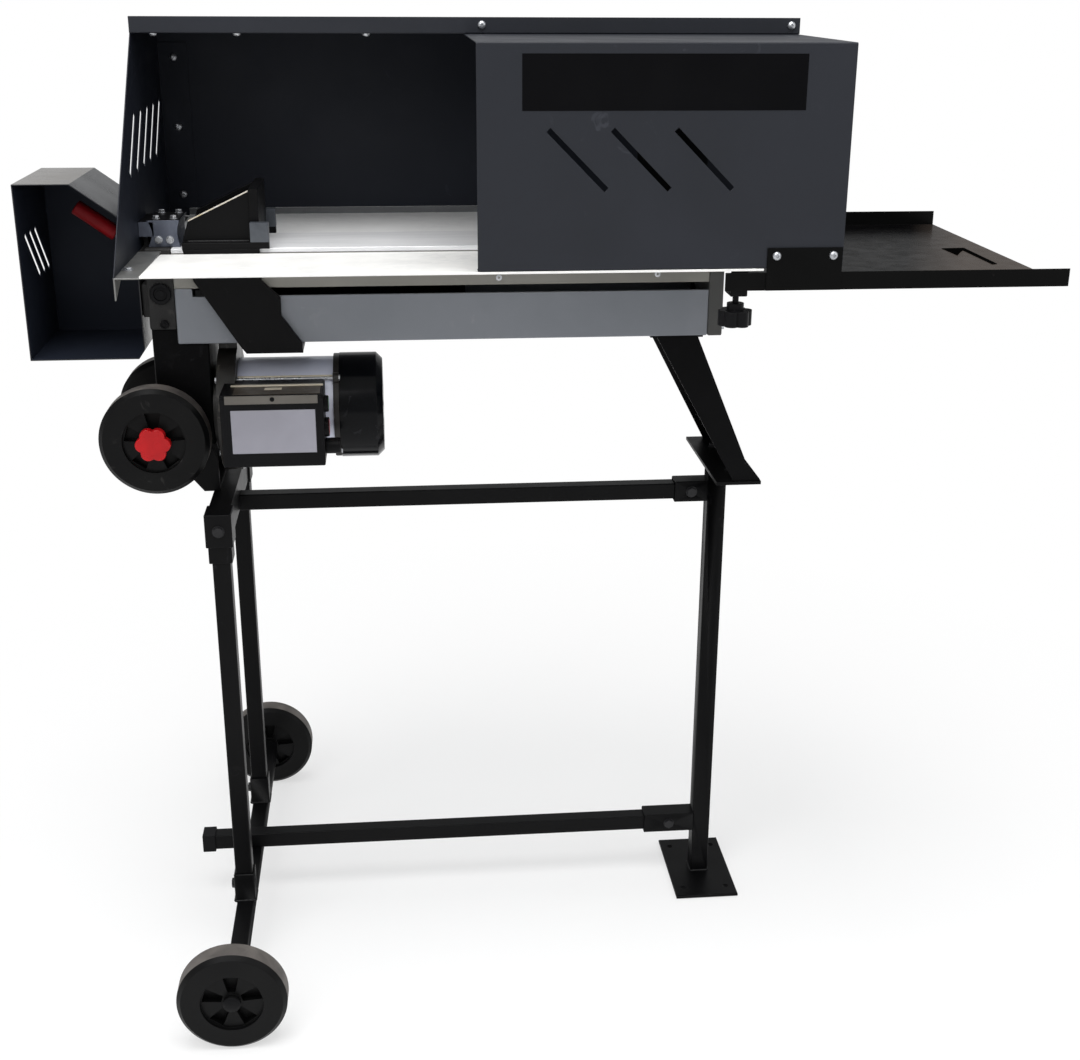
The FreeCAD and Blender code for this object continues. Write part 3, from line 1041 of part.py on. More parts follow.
    case = box("switch_outside", "switch_length", "switch_depth", "switch_height", "switch_left",
               "switch_front", "switch_low")
    room = box("switch_inside", "switch_length - 2 * switch_wall", "switch_depth",
               "switch_height - 2 * switch_wall", "switch_left + switch_wall",
               "switch_front + switch_wall", "switch_low + switch_wall")
    ways = [rod(f"{tag}_way", "X", f"{tag}_radius + button_gap", "switch_wall + 2 * overrun",
                "switch_right - switch_wall - overrun", "button_y", f"{tag}_height")
            for tag in ("start", "stop")]
    gland_way = rod("gland_way", "X", "gland_radius", "switch_wall + 2 * overrun",
                    "switch_right - switch_wall - overrun", "button_y", "gland_height")
    saddle = rod("switch_saddle", "X", "housing_radius", "switch_length + 2 * overrun",
                 "switch_left - overrun", "0", height)
    shield_room = rod("switch_shield_room", "X", "shield_radius + side_gap",
                      "shield_thick + side_gap", "housing_left - shield_thick", "0", height)
    node("switch_box", cut("switch_case", case, room, *ways, gland_way, saddle, shield_room))
    for tag in ("start", "stop"):
        node(f"{tag}_button", fuse(
            f"{tag}_plunger",
            rod(f"{tag}_cap", "X", f"{tag}_radius",
                "switch_wall + button_proud + button_gap", "switch_right - switch_wall - button_gap",
                "button_y", f"{tag}_height"),
            rod(f"{tag}_flange", "X", f"{tag}_radius + button_flange", "button_flange",
                "switch_right - switch_wall - button_gap - button_flange", "button_y",
                f"{tag}_height")))
    node("cord_gland", cut(
        "gland", fuse("gland_raw",
                      rod("gland_thread", "X", "gland_radius", "switch_wall",
                          "switch_right - switch_wall", "button_y", "gland_height"),
                      rod("gland_nut", "X", "gland_nut_radius", "gland_length", "switch_right",
                          "button_y", "gland_height")),
        rod("gland_mouth", "X", "gland_bore", "gland_length", "switch_right + switch_wall",
            "button_y", "gland_height")))

    toe, low = "bracket_toe_left", "stand_height"
    outline = [("bracket_left", "machine_axle_height - 2 * axle_radius"),
               ("bracket_left", "machine_axle_height + axle_radius"),
               ("pump_left", "machine_axle_height + 4 * axle_radius"),
               (toe, "machine_axle_height + 4 * axle_radius"),
               ("bracket_right", "pump_low - 4 * bracket_plate"), ("bracket_right", low),
               (toe, low), ("pump_left", "pump_low - bracket_plate")]
    sides = [plate(f"bracket_side_{tag}", "XZ", [outline], "bracket_sheet", y=y,
                   holes=[("machine_axle_x", "machine_axle_height", "axle_radius")])
             for tag, y in (("front", "-(bracket_half_width)"),
                            ("rear", "bracket_half_width - bracket_sheet"))]
    seat = box("bracket_seat", f"{toe} - pump_left", "2 * bracket_half_width", "bracket_plate",
               "pump_left", "-(bracket_half_width)", "pump_low - bracket_plate")
    sole = box("bracket_sole", f"bracket_right - {toe}", "2 * bracket_half_width",
               "bracket_plate", toe, "-(bracket_half_width)", low)
    node("wheel_bracket", fuse("bracket", *sides, seat, sole))
    reach = "(machine_half_track + side_gap)"
    node("machine_axle", rod("machine_axle_bar", "Y", "axle_radius", f"2 * {reach}",
                             "machine_axle_x", f"-{reach}", "machine_axle_height"))
    for tag, y, side in (("front", "-(machine_half_track)", -1),
                         ("rear", "machine_half_track - wheel_width", 1)):
        node(f"machine_wheel_{tag}",
             wheel(f"small_wheel_{tag}", "machine_axle_x", y, "machine_axle_height", side))
    node("wheel_star_caps", *[
        star(f"star_{tag}", "Y", "star_radius", "star_lobe_radius", "star_height",
             "machine_axle_x", y, "machine_axle_height", "star_lobes")
        for tag, y in (("front", f"-({reach} + star_height)"), ("rear", reach))])


def build_lever():
    """The operator's lever and the valve spool that it pushes."""
    thick = "2 * arm_half_thick"
    hub = rod("arm_hub", "Y", "arm_hub_radius", thick, "pivot_x", "-(arm_half_thick)",
              "pivot_height")
    arm = box("arm_lower", "arm_width", thick, "tip_drop", "pivot_x - arm_width / 2",
              "-(arm_half_thick)", "pivot_height - tip_drop")
    tip = rod("arm_tip", "Y", "tip_radius", thick, "pivot_x", "-(arm_half_thick)",
              "spool_height")
    bore = rod("arm_bore", "Y", "pin_radius + running_gap", f"{thick} + 2 * overrun", "pivot_x",
               "-(arm_half_thick + overrun)", "pivot_height")
    stem = doc.addObject("Part::Cylinder", "arm_stem")
    grip = doc.addObject("Part::Cylinder", "grip_bar")
    room = doc.addObject("Part::Cylinder", "grip_room")
    for bar, radius, length, start in (
            (stem, "stem_radius", "stem_length", "arm_hub_radius / 2"),
            (grip, "grip_radius", "grip_length", "grip_start"),
            (room, "stem_radius", "stem_length + arm_hub_radius / 2 - grip_start + overrun",
             "grip_start - overrun")):
        bind(bar, "Radius", radius)
        bind(bar, "Height", length)
        bar.Placement = FreeCAD.Placement(FreeCAD.Vector(), FreeCAD.Rotation(
            FreeCAD.Vector(0, 1, 0), 1))
        bind(bar, "Placement.Rotation.Angle", "stem_angle - right_angle")
        place(bar, f"pivot_x - ({start}) * cos(stem_angle)", "0",
              f"pivot_height + ({start}) * sin(stem_angle)")
    node("control_lever", cut("lever", fuse("lever_raw", hub, arm, tip, stem), bore))
    node("lever_grip", cut("grip", grip, room))
    node("valve_spool", fuse(
        "spool",
        rod("spool_bar", "X", "spool_radius", "-(spool_stop) - (spool_left)", "spool_left", "0",
            "spool_height"),
        rod("spool_face", "X", "spool_head_radius", "spool_head", "spool_left", "0",
            "spool_height")))


def check_and_write():
    """Recompute, refuse any failed object, and write one STEP file for each node."""
    doc.recompute()
    for thing in doc.Objects:
        if "Invalid" in thing.State or "Error" in thing.State:
            raise RuntimeError(f"{thing.Name} failed: {thing.State}")
    os.makedirs("parts", exist_ok=True)
    for part in nodes:
        shape = part.Shape
        if shape.isNull() or not shape.isValid() or not shape.Solids:
            raise RuntimeError(f"{part.Label} has no valid solid")
    for part in nodes:
        part.Shape.exportStep(os.path.join("parts", part.Label + ".step"))
    whole = Part.makeCompound([part.Shape for part in nodes]).BoundBox
    print(f"{len(nodes)} nodes, {whole.XLength:.1f} x {whole.YLength:.1f} x {whole.ZLength:.1f}")
    print(f"x {whole.XMin:.2f} to {whole.XMax:.2f}, y {whole.YMin:.2f} to {whole.YMax:.2f}, "
          f"z {whole.ZMin:.2f} to {whole.ZMax:.2f}")


frame_bolts = build_stand()
frame_bolts += build_beam()
build_pusher()
build_trays()
build_guards()
frame_bolts += build_table()
node("frame_bolts", *frame_bolts)
build_drive()
build_lever()
check_and_write()
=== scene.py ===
"""Dressed model of a horizontal electric log splitter on its wheeled stand.

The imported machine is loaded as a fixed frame.  Every part of it is then given its rounded edges,
its fasteners, its welds and its finish, in metres and in the machine's own frame: X runs along the
beam from the lever to the output table, Y runs away from the operator and Z runs up.
"""
import logging
import math
from dataclasses import dataclass
from enum import Enum

import bmesh
import bpy
from mathutils import Matrix, Vector


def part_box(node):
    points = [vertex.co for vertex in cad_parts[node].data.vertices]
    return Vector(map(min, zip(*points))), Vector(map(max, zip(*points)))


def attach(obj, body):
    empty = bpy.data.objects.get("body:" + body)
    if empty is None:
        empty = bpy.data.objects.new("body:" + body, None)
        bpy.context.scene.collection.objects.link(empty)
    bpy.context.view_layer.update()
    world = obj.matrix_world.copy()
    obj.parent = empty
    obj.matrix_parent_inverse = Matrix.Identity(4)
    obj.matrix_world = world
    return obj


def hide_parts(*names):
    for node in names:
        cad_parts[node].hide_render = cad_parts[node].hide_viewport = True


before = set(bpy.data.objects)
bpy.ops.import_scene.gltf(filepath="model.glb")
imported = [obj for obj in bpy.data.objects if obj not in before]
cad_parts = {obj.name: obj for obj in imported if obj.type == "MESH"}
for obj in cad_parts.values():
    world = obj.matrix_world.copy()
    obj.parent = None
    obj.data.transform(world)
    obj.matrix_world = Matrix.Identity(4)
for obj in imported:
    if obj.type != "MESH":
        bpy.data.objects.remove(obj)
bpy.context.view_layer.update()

log = logging.getLogger("log_splitter")
MM = 0.001
FULL_TURN = 2 * math.pi
MERGE_DISTANCE = MM / 200
SLIVER = MM / 500
FLAT_ANGLE = math.radians(0.6)
EDGE_ANGLE = math.radians(40)
SHADING_ANGLE = math.radians(42)
BEAD_STEP_SHARE = 0.9
BEAD_END_SHARE = 0.7
BEAD_DIP_SHARE = 0.82

Point = tuple[float, float, float]
Colour = tuple[int, int, int]
Section = list[tuple[float, float]]
Span = tuple[float, float]


class Axis(Enum):
    """The machine's three directions."""

    X = 0
    Y = 1
    Z = 2

    @property
    def vector(self) -> Vector:
        """The direction as a unit vector."""
        return Vector([float(turn == self.value) for turn in range(3)])

    @property
    def from_z(self) -> Matrix:
        """The turn that lays a shape standing along Z along this direction."""
        return Vector((0, 0, 1)).rotation_difference(self.vector).to_matrix().to_4x4()


class Slot(Enum):
    """The machine's material slots."""

    BLACK_PAINT = "black_paint"
    ANTHRACITE_PAINT = "anthracite_paint"
    BEAM_GREY = "beam_grey_paint"
    GALVANISED = "galvanised_sheet"
    GROUND_STEEL = "ground_steel"
    ZINC_STEEL = "zinc_steel"
    HARD_CHROME = "hard_chrome"
    CAST_GREY = "cast_grey"
    SILVER_CASTING = "silver_casting"
    MOTOR_SILVER = "motor_silver"
    ROTOR_STEEL = "rotor_steel"
    BLACK_PLASTIC = "black_plastic"
    BLACK_COVER = "black_cover"
    RED_PLASTIC = "red_plastic"
    GREEN_PLASTIC = "green_plastic"
    PAD_PLASTIC = "pad_plastic"


def in_mm(*points: Span) -> Section:
    """Points that are given in millimetres, in metres."""
    return [(along * MM, out * MM) for along, out in points]


def corners_of(places: list[Vector]) -> tuple[Vector, Vector]:
    """The low and the high corner of the box round some places."""
    low, high = (Vector([pick(place[turn] for place in places) for turn in range(3)])
                 for pick in (min, max))
    return low, high


def linear(red: int, green: int, blue: int) -> tuple[float, float, float, float]:
    """Turns a colour as a screen shows it into the light it stands for.

    Args:
        red: red from 0 to 255.
        green: green from 0 to 255.
        blue: blue from 0 to 255.

    Returns:
        The linear colour with full cover.
    """
    def one(level: int) -> float:
        """One channel's light."""
        share = level / 255
        return share / 12.92 if share <= 0.04045 else ((share + 0.055) / 1.055) ** 2.4
    return one(red), one(green), one(blue), 1.0


class Recipe:
    """Lays out one material's nodes in short steps."""

    def __init__(self, name: str) -> None:
        """Starts an empty material with its shader and its place on the piece.

        Args:
            name: the material's name.
        """
        self.material = bpy.data.materials.new(name)
        self.material.use_nodes = True
        self.tree = self.material.node_tree
        self.tree.nodes.clear()
        self.output = self.node("OutputMaterial")
        self.shader = self.node("BsdfPrincipled")
        self.place = self.node("TexCoord").outputs["Object"]
        self.join(self.shader.outputs["BSDF"], self.output.inputs["Surface"])

    def node(self, kind: str, **values: object) -> bpy.types.ShaderNode:
        """Adds a node and sets its inputs.

        Args:
            kind: the node's type, without the word ShaderNode.
            values: the inputs' values; an underscore in a name stands for a space.

        Returns:
            The node.
        """
        node = self.tree.nodes.new("ShaderNode" + kind)
        for name, value in values.items():
            node.inputs[name.replace("_", " ")].default_value = value
        return node

    def join(self, source: bpy.types.NodeSocket, target: bpy.types.NodeSocket) -> None:
        """Links two sockets."""
        self.tree.links.new(source, target)

    def mapped(self, stretch: Point) -> bpy.types.NodeSocket:
        """The place on the piece, stretched.

        Args:
            stretch: the stretch along X, Y and Z.

        Returns:
            The stretched place.
        """
        mapping = self.node("Mapping", Scale=stretch)
        self.join(self.place, mapping.inputs["Vector"])
        return mapping.outputs["Vector"]

    def noise(self, scale: float, detail: float = 3.0, stretch: Point = (1, 1, 1),
              warp: float = 0.0) -> bpy.types.NodeSocket:
        """A cloudy pattern.

        Args:
            scale: how many clouds there are to a metre.
            detail: how many finer layers lie on it.
            stretch: the pattern's stretch along X, Y and Z.
            warp: how far the clouds are pulled about.

        Returns:
            The pattern's level, about a half on average.
        """
        cloud = self.node("TexNoise", Scale=scale, Detail=detail, Distortion=warp)
        self.join(self.mapped(stretch), cloud.inputs["Vector"])
        return cloud.outputs["Fac"]

    def cells(self, scale: float) -> bpy.types.NodeSocket:
        """A level that is even inside each crystal-like cell and differs from cell to cell.

        Args:
            scale: how many cells there are to a metre.

        Returns:
            The level, from nought to one.
        """
        field = self.node("TexVoronoi", Scale=scale)
        self.join(self.place, field.inputs["Vector"])
        split = self.node("SeparateColor")
        self.join(field.outputs["Color"], split.inputs["Color"])
        return split.outputs["Red"]

    def ranged(self, level: bpy.types.NodeSocket, start: float, end: float, low: float,
               high: float) -> bpy.types.NodeSocket:
        """Stretches a level, so that start gives low and end gives high, and holds it there.

        Args:
            level: the level to stretch.
            start: the level that gives low.
            end: the level that gives high.
            low: what start gives.
            high: what end gives.

        Returns:
            The stretched level.
        """
        reach = self.node("MapRange", From_Min=start, From_Max=end, To_Min=low, To_Max=high)
        self.join(level, reach.inputs["Value"])
        return reach.outputs["Result"]

    def times(self, first: bpy.types.NodeSocket,
              second: bpy.types.NodeSocket) -> bpy.types.NodeSocket:
        """Multiplies two levels.

        Args:
            first: a level.
            second: the level that it is multiplied by.

        Returns:
            Their product.
        """
        product = self.node("Math")
        product.operation = "MULTIPLY"
        self.join(first, product.inputs[0])
        self.join(second, product.inputs[1])
        return product.outputs[0]

    def blended(self, share: bpy.types.NodeSocket, first: object,
                second: object) -> bpy.types.NodeSocket:
        """Two colours, mixed by a level.

        Args:
            share: the level: nought gives the first colour and one the second.
            first: a colour or a colour socket.
            second: a colour or a colour socket.

        Returns:
            The mixed colour.
        """
        mix = self.node("Mix")
        mix.data_type = "RGBA"
        self.join(share, mix.inputs["Factor"])
        colour_inputs = [socket for socket in mix.inputs if socket.type == "RGBA"]
        for socket, colour in zip(colour_inputs, (first, second)):
            if isinstance(colour, bpy.types.NodeSocket):
                self.join(colour, socket)
            else:
                socket.default_value = colour
        return next(socket for socket in mix.outputs if socket.type == "RGBA")

    def bumped(self, level: bpy.types.NodeSocket, depth: float,
               under: bpy.types.NodeSocket | None = None) -> bpy.types.NodeSocket:
        """Raises the surface by a level.

        Args:
            level: the height pattern.
            depth: the height of a full level in metres.
            under: a bump that lies below this one.

        Returns:
            The bumped normal.
        """
        bump = self.node("Bump", Distance=depth)
        self.join(level, bump.inputs["Height"])
        if under is not None:
            self.join(under, bump.inputs["Normal"])
        return bump.outputs["Normal"]

    def set(self, **values: float) -> None:
        """Sets the shader's own sockets; a name's underscores stand for spaces."""
        for name, number in values.items():
            self.shader.inputs[name.replace("_", " ")].default_value = number


@dataclass(frozen=True)
class Finish:
    """A painted, moulded or bare surface with its own cloudiness, grain and worn edges."""

    name: str
    colour: Colour
    shade: Colour
    roughness: tuple[float, float] = (0.4, 0.55)
    metallic: float = 0.0
    gloss_level: float = 0.5
    coat: float = 0.0
    cloud_scale: float = 9.0
    grain_scale: float = 900.0
    grain_depth: float = 0.00006
    grain_stretch: Point = (1, 1, 1)
    wear: float = 0.0
    worn: Colour = (150, 150, 152)
    scuff_scale: float = 34.0

    def pattern(self, recipe: Recipe) -> bpy.types.NodeSocket:
        """The level that leads from the colour to the shade, in a material's recipe."""
        return recipe.ranged(recipe.noise(self.cloud_scale, 4.0, warp=0.4), 0.3, 0.7, 0.0, 1.0)

    def toned(self, recipe: Recipe) -> bpy.types.NodeSocket:
        """The colour blended into the shade by the pattern."""
        return recipe.blended(self.pattern(recipe), linear(*self.colour), linear(*self.shade))

    def material(self) -> bpy.types.Material:
        """Makes the finish's material once.

        Returns:
            The material.
        """
        made = bpy.data.materials.get(self.name)
        if made is not None:
            return made
        recipe = Recipe(self.name)
        recipe.set(Metallic=self.metallic, Specular_IOR_Level=self.gloss_level,
                   Coat_Weight=self.coat, Coat_Roughness=0.15)
        tone = self.toned(recipe)
        if self.wear:
            scuffs = recipe.times(
                recipe.ranged(recipe.noise(self.scuff_scale, 6.0, warp=1.5), 0.64, 0.7, 0.0, 1.0),
                recipe.ranged(recipe.noise(4.0, 2.0), 0.52, 0.62, 0.0, self.wear))
            tone = recipe.blended(scuffs, tone, linear(*self.worn))
        recipe.join(tone, recipe.shader.inputs["Base Color"])
        smooth, rough = self.roughness
        spread = recipe.noise(self.cloud_scale * 3, 5.0, self.grain_stretch)
        recipe.join(recipe.ranged(spread, 0.3, 0.7, smooth, rough),
                    recipe.shader.inputs["Roughness"])
        grain = recipe.noise(self.grain_scale, 2.0, self.grain_stretch)
        recipe.join(recipe.bumped(grain, self.grain_depth), recipe.shader.inputs["Normal"])
        return recipe.material


@dataclass(frozen=True)
class Spangled(Finish):
    """Galvanised sheet: flat zinc crystals of slightly different lightness."""

    crystal_scale: float = 95.0

    def pattern(self, recipe: Recipe) -> bpy.types.NodeSocket:
        """Lays crystals over soft clouds.

        Args:
            recipe: the material's recipe.

        Returns:
            The level that leads from the colour to the shade.
        """
        crystals = recipe.ranged(recipe.cells(self.crystal_scale), 0.0, 1.0, 0.25, 1.0)
        clouds = recipe.ranged(recipe.noise(self.cloud_scale, 3.0), 0.3, 0.7, 0.2, 1.0)
        return recipe.times(crystals, clouds)


@dataclass(frozen=True)
class Brushed(Finish):
    """Bare steel with long scratches along the grain's direction."""

    def pattern(self, recipe: Recipe) -> bpy.types.NodeSocket:
        """Lays fine streaks over soft clouds.

        Args:
            recipe: the material's recipe.

        Returns:
            The level that leads from the colour to the shade.
        """
        streaks = recipe.ranged(recipe.noise(260.0, 4.0, self.grain_stretch), 0.35, 0.65, 0.0, 1.0)
        clouds = recipe.ranged(recipe.noise(self.cloud_scale, 3.0), 0.3, 0.7, 0.4, 1.0)
        return recipe.times(streaks, clouds)


@dataclass(frozen=True)
class PaintedReflectionEnd(Finish):
    """Dark paint with a painted warm reflection that grows towards one end of the piece."""

    # warm: the colour of the painted reflection at the far end.
    warm: Colour = (58, 51, 46)
    toward: Point = (1.0, -0.37, 0.0)
    start: float = 0.548
    end: float = 0.636

    def toned(self, recipe: Recipe) -> bpy.types.NodeSocket:
        """Blends the paint's colour into the painted reflection's warm colour along a direction.

        Args:
            recipe: the material's recipe.

        Returns:
            The colour.
        """
        along = recipe.node("VectorMath")
        along.operation = "DOT_PRODUCT"
        along.inputs[1].default_value = self.toward
        recipe.join(recipe.place, along.inputs[0])
        share = recipe.ranged(along.outputs["Value"], self.start, self.end, 0.0, 1.0)
        return recipe.blended(share, super().toned(recipe), linear(*self.warm))


BLACK_PAINT = Finish("black_powder_coat", (6, 6, 7), (10, 10, 11), (0.36, 0.44),
                     gloss_level=0.11, grain_scale=1300.0, wear=0.3, worn=(44, 44, 46))
ANTHRACITE = Finish("anthracite_powder_coat", (36, 38, 43), (40, 42, 48), (0.4, 0.5),
                    gloss_level=0.2, cloud_scale=5.0, grain_scale=1500.0, grain_depth=0.00008,
                    wear=0.25, worn=(78, 80, 88))
# Painted shade: a darker anthracite for the back guard's inward faces and the whole end panel,
# standing in for the shade inside the guard.
SHADED_INNER_ANTHRACITE = Finish("shaded_anthracite_coat", (22, 25, 33), (27, 30, 38), (0.4, 0.5),
                          gloss_level=0.16, cloud_scale=5.0, grain_scale=1500.0, wear=0.2,
                          worn=(56, 60, 70))
# Painted shade: a darker anthracite for the inward faces of the lever guard, standing in for the
# shade inside the box.
DEEP_SHADED_ANTHRACITE = Finish("deep_shaded_anthracite_coat", (28, 32, 41), (34, 38, 48),
                         (0.4, 0.5), gloss_level=0.12, cloud_scale=5.0, grain_scale=1500.0,
                         wear=0.2, worn=(40, 43, 50))
BOX_SHEEN = Finish("satin_anthracite_coat", (30, 31, 34), (36, 37, 40), (0.2, 0.3),
                   gloss_level=0.3, cloud_scale=6.0, grain_scale=1500.0, coat=0.1, wear=0.25,
                   worn=(78, 80, 86))
# Painted reflection: the lever guard's upward faces are a warm light grey that stands in for the
# bright surroundings they reflect.
BOX_TOP_REFLECTION = Finish("satin_coat_with_painted_top_reflection", (84, 78, 71), (94, 90, 85), (0.16, 0.26),
                 cloud_scale=12.0, grain_scale=1500.0, coat=0.6, wear=0.25,
                 worn=(112, 110, 108))
BEAM_GREY = Finish("grey_beam_paint", (112, 116, 122), (122, 125, 131), (0.4, 0.5),
                   gloss_level=0.35, cloud_scale=7.0, wear=0.3, worn=(150, 150, 150))
TANK_GREY = Finish("warm_grey_tank_paint", (118, 116, 110), (130, 128, 122), (0.4, 0.5),
                   gloss_level=0.35, cloud_scale=7.0, wear=0.3, worn=(152, 150, 146))
CAP_GREY = Finish("dark_grey_cap_paint", (66, 66, 65), (76, 76, 74), (0.42, 0.55),
                  gloss_level=0.3, grain_scale=700.0, grain_depth=0.0001, wear=0.25)
# Grey casting paint, darkened further with painted shade for the shade that the tray casts over
# the end casting.
CAST_GREY = Finish("shaded_dark_casting_paint", (33, 33, 34), (46, 45, 44), (0.45, 0.6),
                   gloss_level=0.15, grain_scale=420.0, grain_depth=0.00025, wear=0.3,
                   worn=(112, 110, 106))
GALVANISED = Spangled("galvanised_sheet_steel", (244, 243, 240), (230, 230, 228), (0.34, 0.46),
                      metallic=0.12, grain_scale=600.0, grain_depth=0.00004)
# Painted light: a brighter, less metallic copy of the galvanised sheet for the rear tray, lifting
# it against the shade of the guard above.
LIT_REAR_ZINC = Spangled("rear_galvanised_sheet_with_painted_light", (246, 246, 245), (234, 234, 234), (0.28, 0.4),
                     metallic=0.05, grain_scale=600.0, grain_depth=0.00004)
# Painted shade: the rear tray's faces that look to the front are a dark grey that stands in for
# shade.
SHADED_RIM_ZINC = Spangled("shaded_galvanised_rim", (96, 98, 100), (80, 82, 84), (0.34, 0.46),
                    metallic=0.1, grain_scale=600.0, grain_depth=0.00004)
BRACKET_ZINC = Spangled("dull_galvanised_bracket", (126, 126, 124), (92, 93, 94), (0.3, 0.44),
                        metallic=0.5, grain_scale=600.0, grain_depth=0.00004)
GROUND_STEEL = Brushed("ground_bed_steel", (232, 232, 233), (214, 215, 217), (0.26, 0.4),
                       metallic=0.2, grain_stretch=(0.04, 1, 1), grain_depth=0.00003)
ZINC_STEEL = Finish("zinc_plated_steel", (196, 198, 202), (168, 170, 174), (0.22, 0.36),
                    metallic=0.8, cloud_scale=60.0, grain_depth=0.00002)
BLACK_ZINC = Finish("black_bolt_coat", (20, 20, 22), (32, 32, 34), (0.34, 0.48),
                    gloss_level=0.3, cloud_scale=60.0, grain_depth=0.00002)
HARD_CHROME = Finish("hard_chrome_plate", (200, 200, 204), (182, 182, 186), (0.06, 0.14),
                     metallic=1.0, grain_depth=0.000004)
SILVER_CASTING = Finish("silver_die_casting", (112, 117, 130), (84, 89, 102), (0.26, 0.4),
                        metallic=0.6, cloud_scale=30.0, grain_scale=500.0,
                        grain_depth=0.00015, wear=0.6, worn=(205, 208, 214))
MOTOR_SILVER = Finish("motor_silver_paint", (232, 235, 250), (218, 222, 241), (0.28, 0.4),
                      metallic=0.2, grain_scale=1100.0, coat=0.5)
# Painted reflection: pale cream on the motor's seam strips stands in for the bright lines that the
# glossy housing reflects; the switch box's ridge and cable plate take the same pale trim colour.
PALE_TRIM_AND_GLINT = Brushed("pale_trim_metal_and_painted_reflection", (226, 217, 198), (196, 185, 163), (0.3, 0.44),
                     metallic=0.2, grain_stretch=(0.05, 1, 1))
BAND_BROWN = Finish("dark_brown_band_paint", (50, 43, 36), (62, 54, 45), (0.3, 0.42),
                    gloss_level=0.4, cloud_scale=30.0)
SHIELD_BROWN = Finish("dark_motor_shield_paint", (26, 25, 24), (38, 35, 32), (0.32, 0.46),
                      gloss_level=0.35, grain_scale=500.0, grain_depth=0.0002, wear=0.5,
                      worn=(96, 92, 86))
PUMP_BLACK = Finish("black_pump_casting", (5, 5, 6), (9, 9, 10), (0.38, 0.5),
                    gloss_level=0.06, grain_scale=420.0, grain_depth=0.00022, wear=0.3,
                    worn=(52, 52, 54))
ROTOR_STEEL = Brushed("machined_rotor_steel", (128, 128, 130), (104, 104, 106), (0.3, 0.42),
                      metallic=0.85, grain_stretch=(1, 0.1, 0.1))
BLACK_PLASTIC = Finish("black_moulded_plastic", (9, 9, 11), (14, 14, 16), (0.36, 0.46),
                       gloss_level=0.12, grain_scale=2200.0, grain_depth=0.00005)
TYRE_PLASTIC = Finish("black_wheel_plastic", (8, 8, 9), (14, 14, 14), (0.34, 0.44),
                      gloss_level=0.13, cloud_scale=14.0, grain_scale=1600.0, wear=0.6,
                      worn=(46, 45, 44))
# Dust on the tread together with painted highlight: the pale grey all round the tread stands in
# for dust and for the highlight along its top.
DUSTY_TREAD_AND_HIGHLIGHT = Finish("dusty_wheel_tread_and_painted_highlight", (106, 101, 97), (70, 67, 65), (0.5, 0.66),
                     gloss_level=0.2, cloud_scale=26.0, grain_depth=0.0001, wear=0.5,
                     worn=(28, 27, 27))
BLACK_COVER = Finish("black_fan_cover_paint", (4, 5, 7), (7, 8, 11), (0.12, 0.2),
                     gloss_level=0.12, grain_scale=1200.0, grain_depth=0.00003, wear=0.3,
                     worn=(50, 50, 54))
TABLE_BLACK = Finish("black_table_paint", (5, 5, 5), (9, 9, 9), (0.3, 0.4),
                     gloss_level=0.08, grain_scale=1200.0, grain_depth=0.00002, wear=0.3,
                     worn=(44, 42, 40))
# Painted reflection: the table's upward faces turn from black to warm grey towards the right end,
# standing in for the glare its dark glossy paint reflects.
TABLE_TOP_REFLECTION = PaintedReflectionEnd("black_table_top_with_painted_reflection", (4, 4, 5), (12, 11, 11), (0.2, 0.3),
                    gloss_level=0.01, cloud_scale=14.0, grain_scale=1200.0,
                    grain_depth=0.00002, wear=0.4, worn=(58, 54, 50))
ARROW_BLACK = Finish("sunk_black_mark", (3, 3, 3), (6, 6, 6), (0.5, 0.6), gloss_level=0.0,
                     grain_scale=1200.0)
RED_PLASTIC = Finish("red_moulded_plastic", (180, 16, 22), (160, 11, 17), (0.24, 0.36),
                     gloss_level=0.24, coat=0.05, cloud_scale=40.0, grain_scale=1800.0,
                     grain_depth=0.00003)
GRIP_RED = Finish("dark_red_grip_rubber", (124, 14, 20), (98, 10, 15), (0.4, 0.52),
                  gloss_level=0.14, cloud_scale=40.0, grain_scale=1800.0)
GREEN_PLASTIC = Finish("green_button_plastic", (24, 128, 52), (20, 110, 44), (0.25, 0.38),
                       coat=0.3, grain_scale=1800.0, grain_depth=0.00003)
PAD_PLASTIC = Finish("nylon_slide_pad", (224, 221, 206), (208, 203, 186),
                     cloud_scale=40.0, grain_scale=1800.0)
LABEL_GREY = Finish("bare_silver_plate", (150, 149, 159), (142, 141, 150), (0.4, 0.5),
                    metallic=0.1, cloud_scale=20.0, grain_scale=1400.0, grain_depth=0.00003)
STRIP_GREY = Finish("beige_grey_strip", (92, 88, 82), (104, 100, 94), (0.36, 0.48),
                    metallic=0.2, cloud_scale=20.0, grain_scale=1400.0, grain_depth=0.00003)
COVER_PLATE = Finish("plain_black_plate", (5, 5, 7), (9, 9, 11), (0.4, 0.5),
                     gloss_level=0.06, grain_scale=1600.0, grain_depth=0.00002)
SHOE_GREY = Finish("grey_shoe_steel", (62, 66, 72), (78, 82, 88), (0.3, 0.42),
                   metallic=0.3, cloud_scale=40.0, wear=0.5, worn=(120, 124, 130))
WELD_BLACK = Finish("painted_weld", (12, 12, 13), (20, 20, 21), (0.36, 0.48),
                    gloss_level=0.25, cloud_scale=120.0, grain_depth=0.0002)
# A pale strip finish on the top of the pusher's front rib.
RIB_EDGE = Brushed("pale_rib_top_finish", (216, 212, 208), (186, 166, 118), (0.34, 0.5),
                   metallic=0.1, cloud_scale=16.0, grain_stretch=(0.05, 1, 1))

